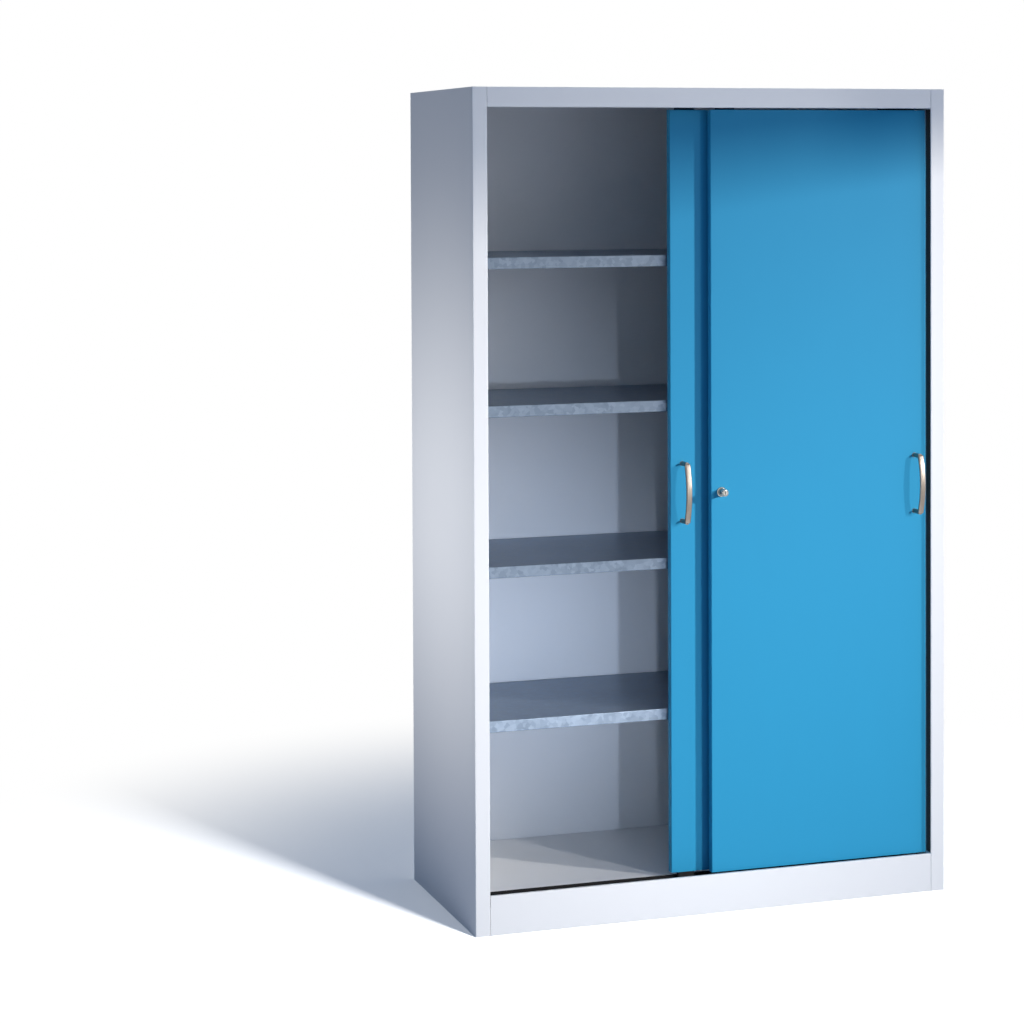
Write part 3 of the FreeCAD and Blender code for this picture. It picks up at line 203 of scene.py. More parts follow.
class Effects:
    """The steps that build the shader groups."""

    WIDE_DIMPLES = 0.22
    SMEAR_FINENESS = 9.0
    SMEAR_STRETCH = (1.0, 1.0, 0.25)
    CRYSTAL_RAGGEDNESS = (0.006, 0.006, 0.006)
    RAGGED_SCALE = 160.0

    def build(self) -> None:
        """Builds the groups."""
        self._peel()
        self._marks()
        self._grain()
        self._spangle()

    def _start(
        self, effect: Effect, inputs: dict[str, float | Point], outputs: Sequence[str]
    ) -> tuple[Sheet, Node, Node, Socket]:
        """Begins a group.

        Args:
            effect: The group.
            inputs: Starting value of each input, a number or three.
            outputs: Names of the outputs; Normal is a vector, the others are values.

        Returns:
            The sheet, the input and output nodes, and the object's own coordinates.
        """
        sheet = Sheet(bpy.data.node_groups.new(effect.value, "ShaderNodeTree"))
        face = sheet.tree.interface
        for label, value in inputs.items():
            kind = "NodeSocketFloat" if isinstance(value, float) else "NodeSocketVector"
            face.new_socket(label, in_out="INPUT", socket_type=kind).default_value = value
        for label in outputs:
            kind = "NodeSocketVector" if label == "Normal" else "NodeSocketFloat"
            face.new_socket(label, in_out="OUTPUT", socket_type=kind)
        start, end = sheet.node("NodeGroupInput"), sheet.node("NodeGroupOutput")
        return sheet, start, end, sheet.node("ShaderNodeTexCoord").outputs["Object"]

    def _peel(self) -> None:
        """Makes the fine pebbled skin of a baked powder coat."""
        sheet, start, end, place = self._start(
            Effect.PEEL, {"Scale": 900.0, "Depth": 0.15}, ("Normal", "Mask")
        )
        scale = start.outputs["Scale"]
        fine = sheet.noise(place, scale, 1.0)
        wide = sheet.noise(place, sheet.math("MULTIPLY", scale, self.WIDE_DIMPLES), 1.0)
        height = sheet.weighed((fine.outputs[0], 0.5), (wide.outputs[0], 0.5))
        sheet.fill(end, {"Normal": sheet.bump(height, start.outputs["Depth"]), "Mask": height})

    def _marks(self) -> None:
        """Makes broad soft clouds with a few finer smears, as handling and wiping leave."""
        sheet, start, end, place = self._start(
            Effect.MARKS, {"Scale": 3.0, "Contrast": 1.0}, ("Mask",)
        )
        scale = start.outputs["Scale"]
        cloud = sheet.noise(place, scale, 4.0, 0.55)
        drawn = sheet.node("ShaderNodeMapping", {"Vector": place, "Scale": self.SMEAR_STRETCH})
        smear_scale = sheet.math("MULTIPLY", scale, self.SMEAR_FINENESS)
        smear = sheet.noise(drawn.outputs[0], smear_scale, 3.0)
        mixed = sheet.weighed((cloud.outputs[0], 0.7), (smear.outputs[0], 0.3))
        centred = sheet.math("MULTIPLY", sheet.math("SUBTRACT", mixed, 0.5), start.outputs["Contrast"])
        mask = sheet.math("ADD", sheet.math("MULTIPLY", centred, 2.0), 0.5, clamp=True)
        sheet.fill(end, {"Mask": mask})

    def _grain(self) -> None:
        """Makes the long fine lines of brushing, rolling or turning."""
        sheet, start, end, place = self._start(
            Effect.GRAIN, {"Stretch": WHITE, "Scale": 1200.0, "Depth": 0.1}, ("Normal", "Mask")
        )
        drawn = sheet.node("ShaderNodeMapping", {"Vector": place, "Scale": start.outputs["Stretch"]})
        lines = sheet.noise(drawn.outputs[0], start.outputs["Scale"], 3.0).outputs[0]
        sheet.fill(end, {"Normal": sheet.bump(lines, start.outputs["Depth"]), "Mask": lines})

    def _spangle(self) -> None:
        """Makes the frost-like crystals of hot-dip zinc, each with its own brightness."""
        sheet, start, end, place = self._start(Effect.SPANGLE, {"Scale": 90.0}, ("Mask",))
        ragged = sheet.noise(place, self.RAGGED_SCALE, 2.0).outputs["Color"]
        push = sheet.node(
            "ShaderNodeVectorMath", {0: ragged, 1: self.CRYSTAL_RAGGEDNESS}, operation="MULTIPLY"
        )
        bent = sheet.node("ShaderNodeVectorMath", {0: place, 1: push.outputs[0]}, operation="ADD")
        cells = sheet.node(
            "ShaderNodeTexVoronoi", {"Vector": bent.outputs[0], "Scale": start.outputs["Scale"]}
        )
        tone = sheet.node("ShaderNodeSeparateColor", {"Color": cells.outputs["Color"]})
        sheet.fill(end, {"Mask": tone.outputs[0]})


@dataclass(frozen=True)
class Finish(ABC):
    """A finish, with its plain colour and the shade of its darker places."""

    colour: Colour
    shade: Colour

    @abstractmethod
    def draw(self, sheet: Sheet, shader: Node) -> Socket:
        """Draws the finish.

        Args:
            sheet: The material's sheet.
            shader: Its Principled BSDF.

        Returns:
            The socket that the material's surface takes.
        """

    def build(self, name: str) -> Material:
        """Makes the material.

        Args:
            name: Name of the material.

        Returns:
            The material.
        """
        material = bpy.data.materials.new(name)
        material.use_nodes = True
        material.node_tree.nodes.clear()
        sheet = Sheet(material.node_tree)
        shader = sheet.node("ShaderNodeBsdfPrincipled")
        sheet.node("ShaderNodeOutputMaterial", {"Surface": self.draw(sheet, shader)})
        return material


@dataclass(frozen=True)
class Surface(Finish):
    """A finish of the cabinet; roughness is its value where its mask is 0 and where it is 1."""

    roughness: tuple[float, float]
    specular: float = 0.4
    metallic: float = 0.0

    @abstractmethod
    def masks(self, sheet: Sheet) -> Masks:
        """Places the shared effects.

        Args:
            sheet: The material's sheet.

        Returns:
            The colour's mask, the roughness's mask and the normal.
        """

    def draw(self, sheet: Sheet, shader: Node) -> Socket:
        """Draws the finish.

        Args:
            sheet: The material's sheet.
            shader: Its Principled BSDF.

        Returns:
            The shader's socket.
        """
        tone, wear, normal = self.masks(sheet)
        inputs = {
            "Base Color": sheet.blend(tone, self.shade, self.colour),
            "Roughness": sheet.remap(wear, *self.roughness),
            "Normal": normal,
            "Specular IOR Level": self.specular,
            "Metallic": self.metallic,
        }
        return sheet.fill(shader, inputs).outputs["BSDF"]


@dataclass(frozen=True)
class PowderCoat(Surface):
    """Baked powder paint with a fine pebbled skin."""

    def masks(self, sheet: Sheet) -> Masks:
        """Places the skin and the clouds.

        Args:
            sheet: The material's sheet.

        Returns:
            The clouds' mask for colour and roughness, and the skin's normal.
        """
        skin = sheet.group(Effect.PEEL, Scale=700.0, Depth=0.12)
        clouds = sheet.group(Effect.MARKS, Scale=2.2, Contrast=0.6).outputs["Mask"]
        return clouds, clouds, skin.outputs["Normal"]


@dataclass(frozen=True)
class Galvanised(Surface):
    """Hot-dip zinc on steel sheet, with spangle and the rolling direction of the sheet.

    shares are those of the crystals, the rolled lines and the clouds in the colour.
    """

    specular: float = 0.5
    metallic: float = 0.75
    grain: Grain = Grain.ALONG_X
    shares: tuple[float, float, float] = (0.55, 0.3, 0.25)

    def masks(self, sheet: Sheet) -> Masks:
        """Places the crystals, the rolled lines and the clouds.

        Args:
            sheet: The material's sheet.

        Returns:
            The mask of all three, the crystals' mask and the lines' normal.
        """
        crystals = sheet.group(Effect.SPANGLE, Scale=95.0)
        lines = sheet.group(Effect.GRAIN, Stretch=self.grain.value, Scale=700.0, Depth=0.2)
        clouds = sheet.group(Effect.MARKS, Scale=6.0, Contrast=1.2)
        masks = [effect.outputs["Mask"] for effect in (crystals, lines, clouds)]
        return sheet.weighed(*zip(masks, self.shares)), masks[0], lines.outputs["Normal"]


@dataclass(frozen=True)
class Metal(Surface):
    """Plated or bare metal with a worked grain."""

    specular: float = 0.5
    metallic: float = 1.0
    grain: Grain = Grain.ALONG_Z
    grain_depth: float = 0.08

    def masks(self, sheet: Sheet) -> Masks:
        """Places the grain and the clouds.

        Args:
            sheet: The material's sheet.

        Returns:
            The mask of both, the clouds' mask and the grain's normal.
        """
        stretch, depth = self.grain.value, self.grain_depth
        lines = sheet.group(Effect.GRAIN, Stretch=stretch, Scale=2400.0, Depth=depth)
        clouds = sheet.group(Effect.MARKS, Scale=25.0, Contrast=1.0).outputs["Mask"]
        # Patches where grain and clouds meet: wear on most metals, and painted dark reflections on the
        # chrome and nickel, whose shade is far darker.
        wear_and_painted_reflection = sheet.math("MULTIPLY", lines.outputs["Mask"], clouds)
        return sheet.math("MULTIPLY", wear_and_painted_reflection, 2.0, clamp=True), clouds, lines.outputs["Normal"]


@dataclass(frozen=True)
class TurnedMetal(Metal):
    """Metal with the grain of a lathe, round an axis along Y."""

    grain: Grain = Grain.ALONG_Y


@dataclass(frozen=True)
class Moulded(Surface):
    """Moulded plastic or rubber with a faintly uneven skin."""

    def masks(self, sheet: Sheet) -> Masks:
        """Places the skin and the clouds.

        Args:
            sheet: The material's sheet.

        Returns:
            The clouds' mask, the skin's mask and the skin's normal.
        """
        skin = sheet.group(Effect.PEEL, Scale=1500.0, Depth=0.2).outputs
        clouds = sheet.group(Effect.MARKS, Scale=30.0, Contrast=0.8).outputs["Mask"]
        return clouds, skin["Mask"], skin["Normal"]


@dataclass(frozen=True)
class StudioFloor(Finish):
    """Pale floor that keeps the object's shadow and runs out to plain white.

    The run-out starts at near metres from the cabinet and ends at far. bounced is the colour that
    lights the object from below, and lift the glow that the floor adds where it is seen.
    """

    bounced: Colour = (0.10, 0.118, 0.16)
    lift: float = 0.23
    lift_tone: Colour = (0.9, 0.95, 1.0)
    near: float = 0.65
    far: float = 2.1

    def draw(self, sheet: Sheet, shader: Node) -> Socket:
        """Draws the floor.

        Args:
            sheet: The material's sheet.
            shader: Its Principled BSDF.

        Returns:
            The socket of the floor mixed with plain white.
        """
        clouds = sheet.group(Effect.MARKS, Scale=1.5, Contrast=0.3).outputs["Mask"]
        place = sheet.node("ShaderNodeTexCoord").outputs["Object"]
        distance = sheet.node("ShaderNodeVectorMath", {0: place}, operation="LENGTH").outputs["Value"]
        run_out = sheet.node(
            "ShaderNodeMapRange",
            {"Value": distance, "From Min": self.near, "From Max": self.far},
            interpolation_type="SMOOTHSTEP",
        )
        seen = sheet.seen()
        tone = sheet.blend(seen, self.bounced, sheet.blend(clouds, self.shade, self.colour))
        sheet.fill(shader, {"Base Color": tone, "Roughness": 1.0, "Specular IOR Level": 0.0})
        white, glow = (
            sheet.node("ShaderNodeEmission", {"Color": (*colour, 1.0), "Strength": strength}).outputs[0]
            for colour, strength in (
                (WHITE, 1.0),
                (self.lift_tone, sheet.math("MULTIPLY", seen, self.lift)),
            )
        )
        lifted = sheet.node("ShaderNodeAddShader", {0: shader.outputs["BSDF"], 1: glow}).outputs[0]
        factor = sheet.math("MULTIPLY", run_out.outputs["Result"], seen)
        return sheet.node("ShaderNodeMixShader", {0: factor, 1: lifted, 2: white}).outputs[0]


FINISHES: dict[Slot, Finish] = {
    Slot.BODY_PAINT: PowderCoat((0.875, 0.87, 0.865), (0.85, 0.85, 0.85), (0.47, 0.38)),
    Slot.DOOR_PAINT: PowderCoat((0.034, 0.36, 0.605), (0.032, 0.34, 0.575), (0.51, 0.42), 0.15),
    # Galvanised colours darkened and blued: painted dark, cool reflections on the shelves; the spangle
    # is the zinc's own pattern.
    Slot.GALVANISED: Galvanised((0.31, 0.38, 0.48), (0.14, 0.185, 0.25), (0.34, 0.52)),
    Slot.ZINC: Metal((0.66, 0.69, 0.72), (0.50, 0.53, 0.57), (0.384, 0.272)),
    # Nickel darkened and browned: painted darker reflections on the handles.
    Slot.NICKEL: Metal((0.33, 0.285, 0.25), (0.19, 0.16, 0.14), (0.432, 0.306)),
    # Chrome darkened and tinted blue-green, with far darker patches: painted dark reflections on the
    # lock.
    Slot.CHROME: TurnedMetal((0.50, 0.53, 0.53), (0.22, 0.25, 0.25), (0.144, 0.102), grain_depth=0.03),
    Slot.SPRING: TurnedMetal((0.32, 0.32, 0.33), (0.20, 0.20, 0.21), (0.42, 0.2975)),
    Slot.BEARING: TurnedMetal((0.56, 0.57, 0.58), (0.42, 0.43, 0.44), (0.216, 0.153)),
    Slot.CORE: TurnedMetal((0.66, 0.655, 0.63), (0.48, 0.475, 0.45), (0.264, 0.187)),
    Slot.NYLON: Moulded((0.76, 0.76, 0.72), (0.68, 0.68, 0.64), (0.42, 0.58)),
    Slot.BLACK_NYLON: Moulded((0.010, 0.010, 0.011), (0.006, 0.006, 0.007), (0.52, 0.68), 0.3),
    Slot.RUBBER: Moulded((0.022, 0.022, 0.023), (0.014, 0.014, 0.015), (0.67, 0.83), 0.25),
    # Near-black powder coat for the hangers and the bottom guide: painted shade in the gaps around the
    # doors.
    Slot.BLACK_STEEL_PAINTED_SHADE: PowderCoat((0.012, 0.012, 0.013), (0.007, 0.007, 0.008), (0.65, 0.56), 0.2),
}
FLOOR = StudioFloor((0.80, 0.80, 0.80), (0.776, 0.776, 0.776))
FLAG_CLOTH = Moulded((0.02, 0.02, 0.02), (0.01, 0.01, 0.01), (0.82, 0.98))


def smooth(mesh: Mesh, degrees: float = 35.0) -> Mesh:
    """Shades a mesh smooth, with its edges over the angle left sharp, and returns it."""
    mesh.shade_smooth()
    mesh.set_sharp_from_angle(angle=math.radians(degrees))
    return mesh


def placed(name: str, data: ID) -> Object:
    """Puts a mesh, lamp or camera in the scene, and returns its object."""
    thing = bpy.data.objects.new(name, data)
    bpy.context.scene.collection.objects.link(thing)
    return thing


def spaced(count: int, reach: float) -> list[float]:
    """Places spread evenly from -reach to reach."""
    return [-reach + 2 * reach * i / (count - 1) for i in range(count)]


def turned(profile: Sequence[tuple[float, float]], x: float, z: float, steps: int = 64) -> Mesh:
    """Turns a closed profile about an axis along Y.

    Args:
        profile: (radius, Y) corners in millimetres; a radius of 0 lies on the axis.
        x: X of the axis, in millimetres.
        z: Z of the axis, in millimetres.
        steps: Corners of each circle.

    Returns:
        The turned mesh.
    """
    shape = bmesh.new()
    corners = [shape.verts.new((radius * MM, y * MM, 0.0)) for radius, y in profile]
    edges = [shape.edges.new((a, b)) for a, b in zip(corners, corners[1:] + corners[:1])]
    about = {"cent": (0, 0, 0), "axis": (0, 1, 0), "angle": math.tau}
    bmesh.ops.spin(shape, geom=corners + edges, steps=steps, use_merge=True, **about)
    bmesh.ops.remove_doubles(shape, verts=shape.verts, dist=1e-7)
    bmesh.ops.recalc_face_normals(shape, faces=shape.faces)
    bmesh.ops.translate(shape, verts=shape.verts, vec=(x * MM, 0.0, z * MM))
    mesh = bpy.data.meshes.new("turned")
    shape.to_mesh(mesh)
    shape.free()
    return smooth(mesh)


class Recipe:
    """A Geometry Nodes tree with named inputs, and the step that bakes it to a plain mesh."""

    def __init__(self, name: str, sizes: dict[str, float]) -> None:
        """Starts the tree.

        Args:
            name: Name of the tree.
            sizes: Starting value of each size, in metres.
        """
        self.sheet = Sheet(bpy.data.node_groups.new(name, "GeometryNodeTree"))
        self.identifiers: dict[str, str] = {}
        face = self.sheet.tree.interface
        kinds = {"Geometry": "Geometry", **dict.fromkeys(sizes, "Float")}
        kinds.update({"Facing": "Rotation", "Finish": "Material"})
        for label, kind in kinds.items():
            made = face.new_socket(label, in_out="INPUT", socket_type=f"NodeSocket{kind}")
            self.identifiers[label] = made.identifier
            if label in sizes:
                made.default_value = sizes[label]
        face.new_socket("Geometry", in_out="OUTPUT", socket_type="NodeSocketGeometry")
        self.start = self.sheet.node("NodeGroupInput")
        self.end = self.sheet.node("NodeGroupOutput")

    def value(self, label: str) -> Socket:
        """The socket of a named input."""
        return self.start.outputs[label]

    def moved(self, geometry: Socket, place: Socket, turn: Point = (0.0, 0.0, 0.0)) -> Socket:
        """Moves geometry to a place, turned by three angles, and returns its socket."""
        inputs = {"Geometry": geometry, "Translation": place, "Rotation": turn}
        return self.sheet.node("GeometryNodeTransform", inputs).outputs[0]

    def bar(
        self, radius: Socket, length: Socket, place: Socket, corners: int, turn: Point = (0.0, 0.0, 0.0)
    ) -> Socket:
        """Adds a round bar with its middle at a place; unturned, it stands along Z."""
        inputs = {"Vertices": corners, "Radius": radius, "Depth": length}
        return self.moved(self.sheet.node("GeometryNodeMeshCylinder", inputs).outputs[0], place, turn)

    def swept(self, line: Node, taper: Socket, profile: Node) -> Socket:
        """Sweeps a profile along a line and caps its ends.

        Args:
            line: Node of the line.
            taper: Size of the profile at each point of the line.
            profile: Node of the profile.

        Returns:
            The solid's socket.
        """
        sized = self.sheet.node(
            "GeometryNodeSetCurveRadius", {"Curve": line.outputs[0], "Radius": taper}
        )
        inputs = {
            "Curve": sized.outputs[0],
            "Profile Curve": profile.outputs[0],
            "Scale": self.sheet.node("GeometryNodeInputRadius").outputs[0],
            "Fill Caps": True,
        }
        return self.sheet.node("GeometryNodeCurveToMesh", inputs).outputs[0]

    def close(self, pieces: Sequence[Socket]) -> None:
        """Ends the tree: a copy on each place, copies made real, the finish set.

        Args:
            pieces: What one copy is made of.
        """
        sheet = self.sheet
        whole = sheet.node("GeometryNodeJoinGeometry")
        for piece in pieces:
            sheet.feed(whole.inputs[0], piece)
        copies = sheet.node(
            "GeometryNodeInstanceOnPoints",
            {
                "Points": self.value("Geometry"),
                "Instance": whole.outputs[0],
                "Rotation": self.value("Facing"),
            },
        )
        real = sheet.node("GeometryNodeRealizeInstances", {"Geometry": copies.outputs[0]})
        painted = sheet.node(
            "GeometryNodeSetMaterial",
            {"Geometry": real.outputs[0], "Material": self.value("Finish")},
        )
        sheet.feed(self.end.inputs[0], painted.outputs[0])

    def bake(self, points: Sequence[Point], values: dict[str, object], material: Material) -> Mesh:
        """Runs the tree on a set of places.

        Args:
            points: Places in metres, one vertex each.
            values: Inputs that differ from their starting values, by name.
            material: The finish.

        Returns:
            The plain mesh.
        """
        places = bpy.data.meshes.new("places")
        places.from_pydata([tuple(p) for p in points], [], [])
        carrier = placed("carrier", places)
        modifier = carrier.modifiers.new("recipe", "NODES")
        modifier.node_group = self.sheet.tree
        for label, value in {**values, "Finish": material}.items():
            modifier[self.identifiers[label]] = value
        depsgraph = bpy.context.evaluated_depsgraph_get()
        mesh = bpy.data.meshes.new_from_object(carrier.evaluated_get(depsgraph), depsgraph=depsgraph)
        carrier.modifiers.clear()
        bpy.data.objects.remove(carrier)
        bpy.data.meshes.remove(places)
        return smooth(mesh)


def fastener_recipe() -> Recipe:
    """Makes domed fasteners with a shank and a riveted tail, each facing as the input says.

    Returns:
        The recipe.
    """
    recipe = Recipe(
        "fasteners",
        {
            "Head Radius": 3.5 * MM,
            "Head Height": 2.0 * MM,
            "Shank Radius": 2.0 * MM,
            "Shank Length": 5.0 * MM,
            "Tail Radius": 2.0 * MM,
            "Tail Start": 0.0,
            "Tail Length": 0.2 * MM,
            "Recess": 0.9 * MM,
        },
    )
    sheet, value = recipe.sheet, recipe.value
    rim_corners, shank_corners, dome_steps = 24, 20, 10
    dome_power, dome_drop, recess_reach = 2.6, 0.72, 1.05
    radius, height, recess = value("Head Radius"), value("Head Height"), value("Recess")
    line = sheet.node("GeometryNodeCurvePrimitiveLine", {"End": sheet.point(Z=height)})
    fine = sheet.node("GeometryNodeResampleCurve", {"Curve": line.outputs[0], "Count": dome_steps})
    along = sheet.node("GeometryNodeSplineParameter").outputs["Factor"]
    drop = sheet.math("MULTIPLY", sheet.math("POWER", along, dome_power), dome_drop)
    dome = sheet.math("SQRT", sheet.math("SUBTRACT", 1.0, drop))
    rim = sheet.node(
        "GeometryNodeCurvePrimitiveCircle", {"Resolution": rim_corners, "Radius": radius}
    )
    plain = recipe.swept(fine, dome, rim)
    cut = sheet.node("GeometryNodeMeshBoolean", {"Mesh 1": plain}, operation="DIFFERENCE")
    reach = sheet.math("MULTIPLY", radius, recess_reach)
    for x, y in ((recess, reach), (reach, recess)):
        block = sheet.node("GeometryNodeMeshCube", {"Size": sheet.point(X=x, Y=y, Z=height)})
        sheet.feed(cut.inputs["Mesh 2"], recipe.moved(block.outputs[0], sheet.point(Z=height)))
    driven = sheet.math("GREATER_THAN", recess, 0.0)
    head = sheet.node(
        "GeometryNodeSwitch",
        {"Switch": driven, "False": plain, "True": cut.outputs["Mesh"]},
        input_type="GEOMETRY",
    )
    shank, tail = value("Shank Length"), value("Tail Length")
    shank_z = sheet.math("MULTIPLY", shank, -0.5)
    tail_z = sheet.math("SUBTRACT", sheet.math("MULTIPLY", tail, -0.5), value("Tail Start"))
    bars = [
        recipe.bar(value(f"{part} Radius"), length, sheet.point(Z=z), shank_corners)
        for part, length, z in (("Shank", shank, shank_z), ("Tail", tail, tail_z))
    ]
    recipe.close([head.outputs[0], *bars])
    return recipe


def bow_recipe() -> Recipe:
    """Makes the bow handle: a rounded flat bar swept along an arc, on two legs with collars.

    Returns:
        The recipe.
    """
    recipe = Recipe(
        "bow_handle",
        {
            "Half Chord": 70.5 * MM,
            "End Reach": 31.0 * MM,
            "Bow": 12.72 * MM,
            "Width": 14.0 * MM,
            "Thickness": 7.5 * MM,
            "Edge": 3.0 * MM,
            "Leg Offset": 68.0 * MM,
            "Leg Radius": 5.5 * MM,
            "Collar Radius": 6.0 * MM,
            "Collar Height": 1.2 * MM,
        },
    )
    sheet, value = recipe.sheet, recipe.value
    arc_steps, edge_steps, leg_corners, end_size = 72, 6, 40, 0.55
    end_y = sheet.math("MULTIPLY", value("End Reach"), -1.0)
    top_y = sheet.math("SUBTRACT", end_y, value("Bow"))
    low_z = sheet.math("MULTIPLY", value("Half Chord"), -1.0)
    arc = sheet.node(
        "GeometryNodeCurveArc",
        {
            "Resolution": arc_steps,
            "Start": sheet.point(Y=end_y, Z=low_z),
            "Middle": sheet.point(Y=top_y),
            "End": sheet.point(Y=end_y, Z=value("Half Chord")),
        },
        mode="POINTS",
    )
    length = sheet.node("GeometryNodeSplineLength").outputs["Length"]
    walked = sheet.node("GeometryNodeSplineParameter").outputs["Length"]
    left = sheet.math("MINIMUM", walked, sheet.math("SUBTRACT", length, walked))
    half = sheet.math("MULTIPLY", value("Thickness"), 0.5)
    inward = sheet.math("SUBTRACT", 1.0, sheet.math("DIVIDE", left, half, clamp=True))
    round_off = sheet.math("SQRT", sheet.math("SUBTRACT", 1.0, sheet.math("MULTIPLY", inward, inward)))
    taper = sheet.remap(round_off, end_size, 1.0)
    flat = sheet.node(
        "GeometryNodeCurvePrimitiveQuadrilateral",
        {"Width": value("Width"), "Height": value("Thickness")},
    )
    rounded = sheet.node(
        "GeometryNodeFilletCurve",
        {"Curve": flat.outputs[0], "Radius": value("Edge"), "Count": edge_steps},
        mode="POLY",
    )
    pieces = [recipe.swept(arc, taper, rounded)]
    for sign in (-1.0, 1.0):
        level = sheet.math("MULTIPLY", value("Leg Offset"), sign)
        for radius, height in (("Leg Radius", "End Reach"), ("Collar Radius", "Collar Height")):
            middle = sheet.point(Y=sheet.math("MULTIPLY", value(height), -0.5), Z=level)
            turn = (math.pi / 2, 0.0, 0.0)
            pieces.append(recipe.bar(value(radius), value(height), middle, leg_corners, turn))
    recipe.close(pieces)
    return recipe


class Workshop:
    """Finished materials and recipes, and the steps that every piece goes through."""

    def __init__(self) -> None:
        """Builds each finish and each recipe once."""
        Effects().build()
        self.materials = {slot: finish.build(slot.value) for slot, finish in FINISHES.items()}
        self.fasteners = fastener_recipe()
        self.bow = bow_recipe()

    def paint(self, mesh: Mesh, slot: Slot) -> None:
        """Gives a mesh one finish all over."""
        mesh.materials.clear()
        mesh.materials.append(self.materials[slot])

    def dress(self, slot: Slot, *nodes: str) -> list[Object]:
        """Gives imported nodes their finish.

        Args:
            slot: Their material slot.
            nodes: Their names.

        Returns:
            The nodes' objects.
        """
        pieces = [frame["nodes"][node] for node in nodes]
        for piece in pieces:
            self.paint(piece.data, slot)
        return pieces

    def keep(self, mesh: Mesh, name: str, body: str, slot: Slot, stands_for: str) -> Object:
        """Places a finished mesh in the scene.

        Args:
            mesh: The mesh, already where it belongs.
            name: Name of the piece.
            body: The body that it rides on.
            slot: Its material slot.
            stands_for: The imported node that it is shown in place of.

        Returns:
            The piece.
        """
        mesh.name = name
        self.paint(mesh, slot)
        piece = placed(name, mesh)
        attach(piece, body)
        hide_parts(stands_for)
        return piece


class Assembly(ABC):
    """A group of the cabinet's pieces that is built in one go."""

    @abstractmethod
    def build(self, shop: Workshop) -> list[Object]:
        """Finishes the group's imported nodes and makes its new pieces.

        Args:
            shop: The materials and recipes.

        Returns:
            All of its pieces.
        """


@dataclass
class Carcase(Assembly):
    """Panels, front frame, bottom guide, buffers and a right-post strip of painted shade."""

    rivets: int = 6
    rivet_reach: float = 513.5
    rivet_radius: float = 3.5
    rivet_head: float = 1.5

    def build(self, shop: Workshop) -> list[Object]:
        """Dresses the carcase and makes its rivets.

        Args:
            shop: The materials and recipes.

        Returns:
            Its pieces.
        """
        pieces = shop.dress(
            Slot.BODY_PAINT,
            "left_side_panel",
            "right_side_panel",
            "back_panel",
            "top_panel",
            "floor_panel",
            "floor_stiffeners",
            "top_rail",
            "plinth",
        )
        # The bottom guide rail is black, partly painted shade: it darkens the recess behind the plinth,
        # which lies in shade.
        pieces += shop.dress(Slot.BLACK_STEEL_PAINTED_SHADE, "bottom_guide_rail")
        # right_post_seal is a black rubber strip on the inner return of the right post: painted shade,
        # where that return lies in shade beside the door.
        pieces += shop.dress(
            Slot.RUBBER, "left_post_buffers", "right_post_buffers", "right_post_seal"
        )
        low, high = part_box("guide_rail_rivets")
        radius, height = self.rivet_radius * MM, self.rivet_head * MM
        middle, seat = (low.y + high.y) / 2, high.z - height
        shank = seat - (low.z + height)
        # The guide rivets take the same black, painted shade in the same recess.
        mesh = shop.fasteners.bake(
            [(x * MM, middle, seat) for x in spaced(self.rivets, self.rivet_reach)],
            {
                "Head Radius": radius,
                "Head Height": height,
                "Shank Length": shank,
                "Tail Radius": radius,
                "Tail Start": shank,
                "Tail Length": height,
                "Recess": 0.0,
            },
            shop.materials[Slot.BLACK_STEEL_PAINTED_SHADE],
        )
        rivets = shop.keep(mesh, "guide_rivets", "carcase", Slot.BLACK_STEEL_PAINTED_SHADE, "guide_rail_rivets")
        return [*pieces, rivets]


@dataclass
class TopTrack(Assembly):
    """Double track over the doors, its screws and its rubber stops."""

    screws: int = 5
    screw_reach: float = 533.5
    head_radius: float = 3.5
    head_height: float = 2.0

    def build(self, shop: Workshop) -> list[Object]:
        """Dresses the track and makes its screws.

        Args:
            shop: The materials and recipes.

        Returns:
            Its pieces.
        """
        pieces = shop.dress(Slot.ZINC, "top_track") + shop.dress(Slot.RUBBER, "track_stops")
        low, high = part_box("top_track_screws")
        middle, seat = (low.y + high.y) / 2, low.z + self.head_height * MM
        mesh = shop.fasteners.bake(
            [(x * MM, middle, seat) for x in spaced(self.screws, self.screw_reach)],
            {
                "Head Radius": self.head_radius * MM,
                "Head Height": self.head_height * MM,
                "Shank Length": high.z - seat,
                "Facing": (math.pi, 0.0, 0.0),
            },
            shop.materials[Slot.ZINC],
        )
        screws = shop.keep(mesh, "track_screws", "carcase", Slot.ZINC, "top_track_screws")
        return [*pieces, screws]


@dataclass
class Shelving(Assembly):
    """Slotted rails, the shelves with their stiffeners, and the clips that carry them."""

    shelves: int = 4

    def build(self, shop: Workshop) -> list[Object]:
        """Dresses the shelves, rails and clips.

        Args:
            shop: The materials and recipes.

        Returns:
            Its pieces.
        """
        rails = [
            f"{side}_{place}_shelf_rail" for side in ("left", "right") for place in ("front", "rear")
        ]
        shelves = [f"shelf_{number}" for number in range(1, self.shelves + 1)]
        stiffeners = [f"{shelf}_stiffener" for shelf in shelves]
        pieces = shop.dress(Slot.GALVANISED, *rails, *shelves, *stiffeners)
        return pieces + shop.dress(Slot.ZINC, "shelf_clips")


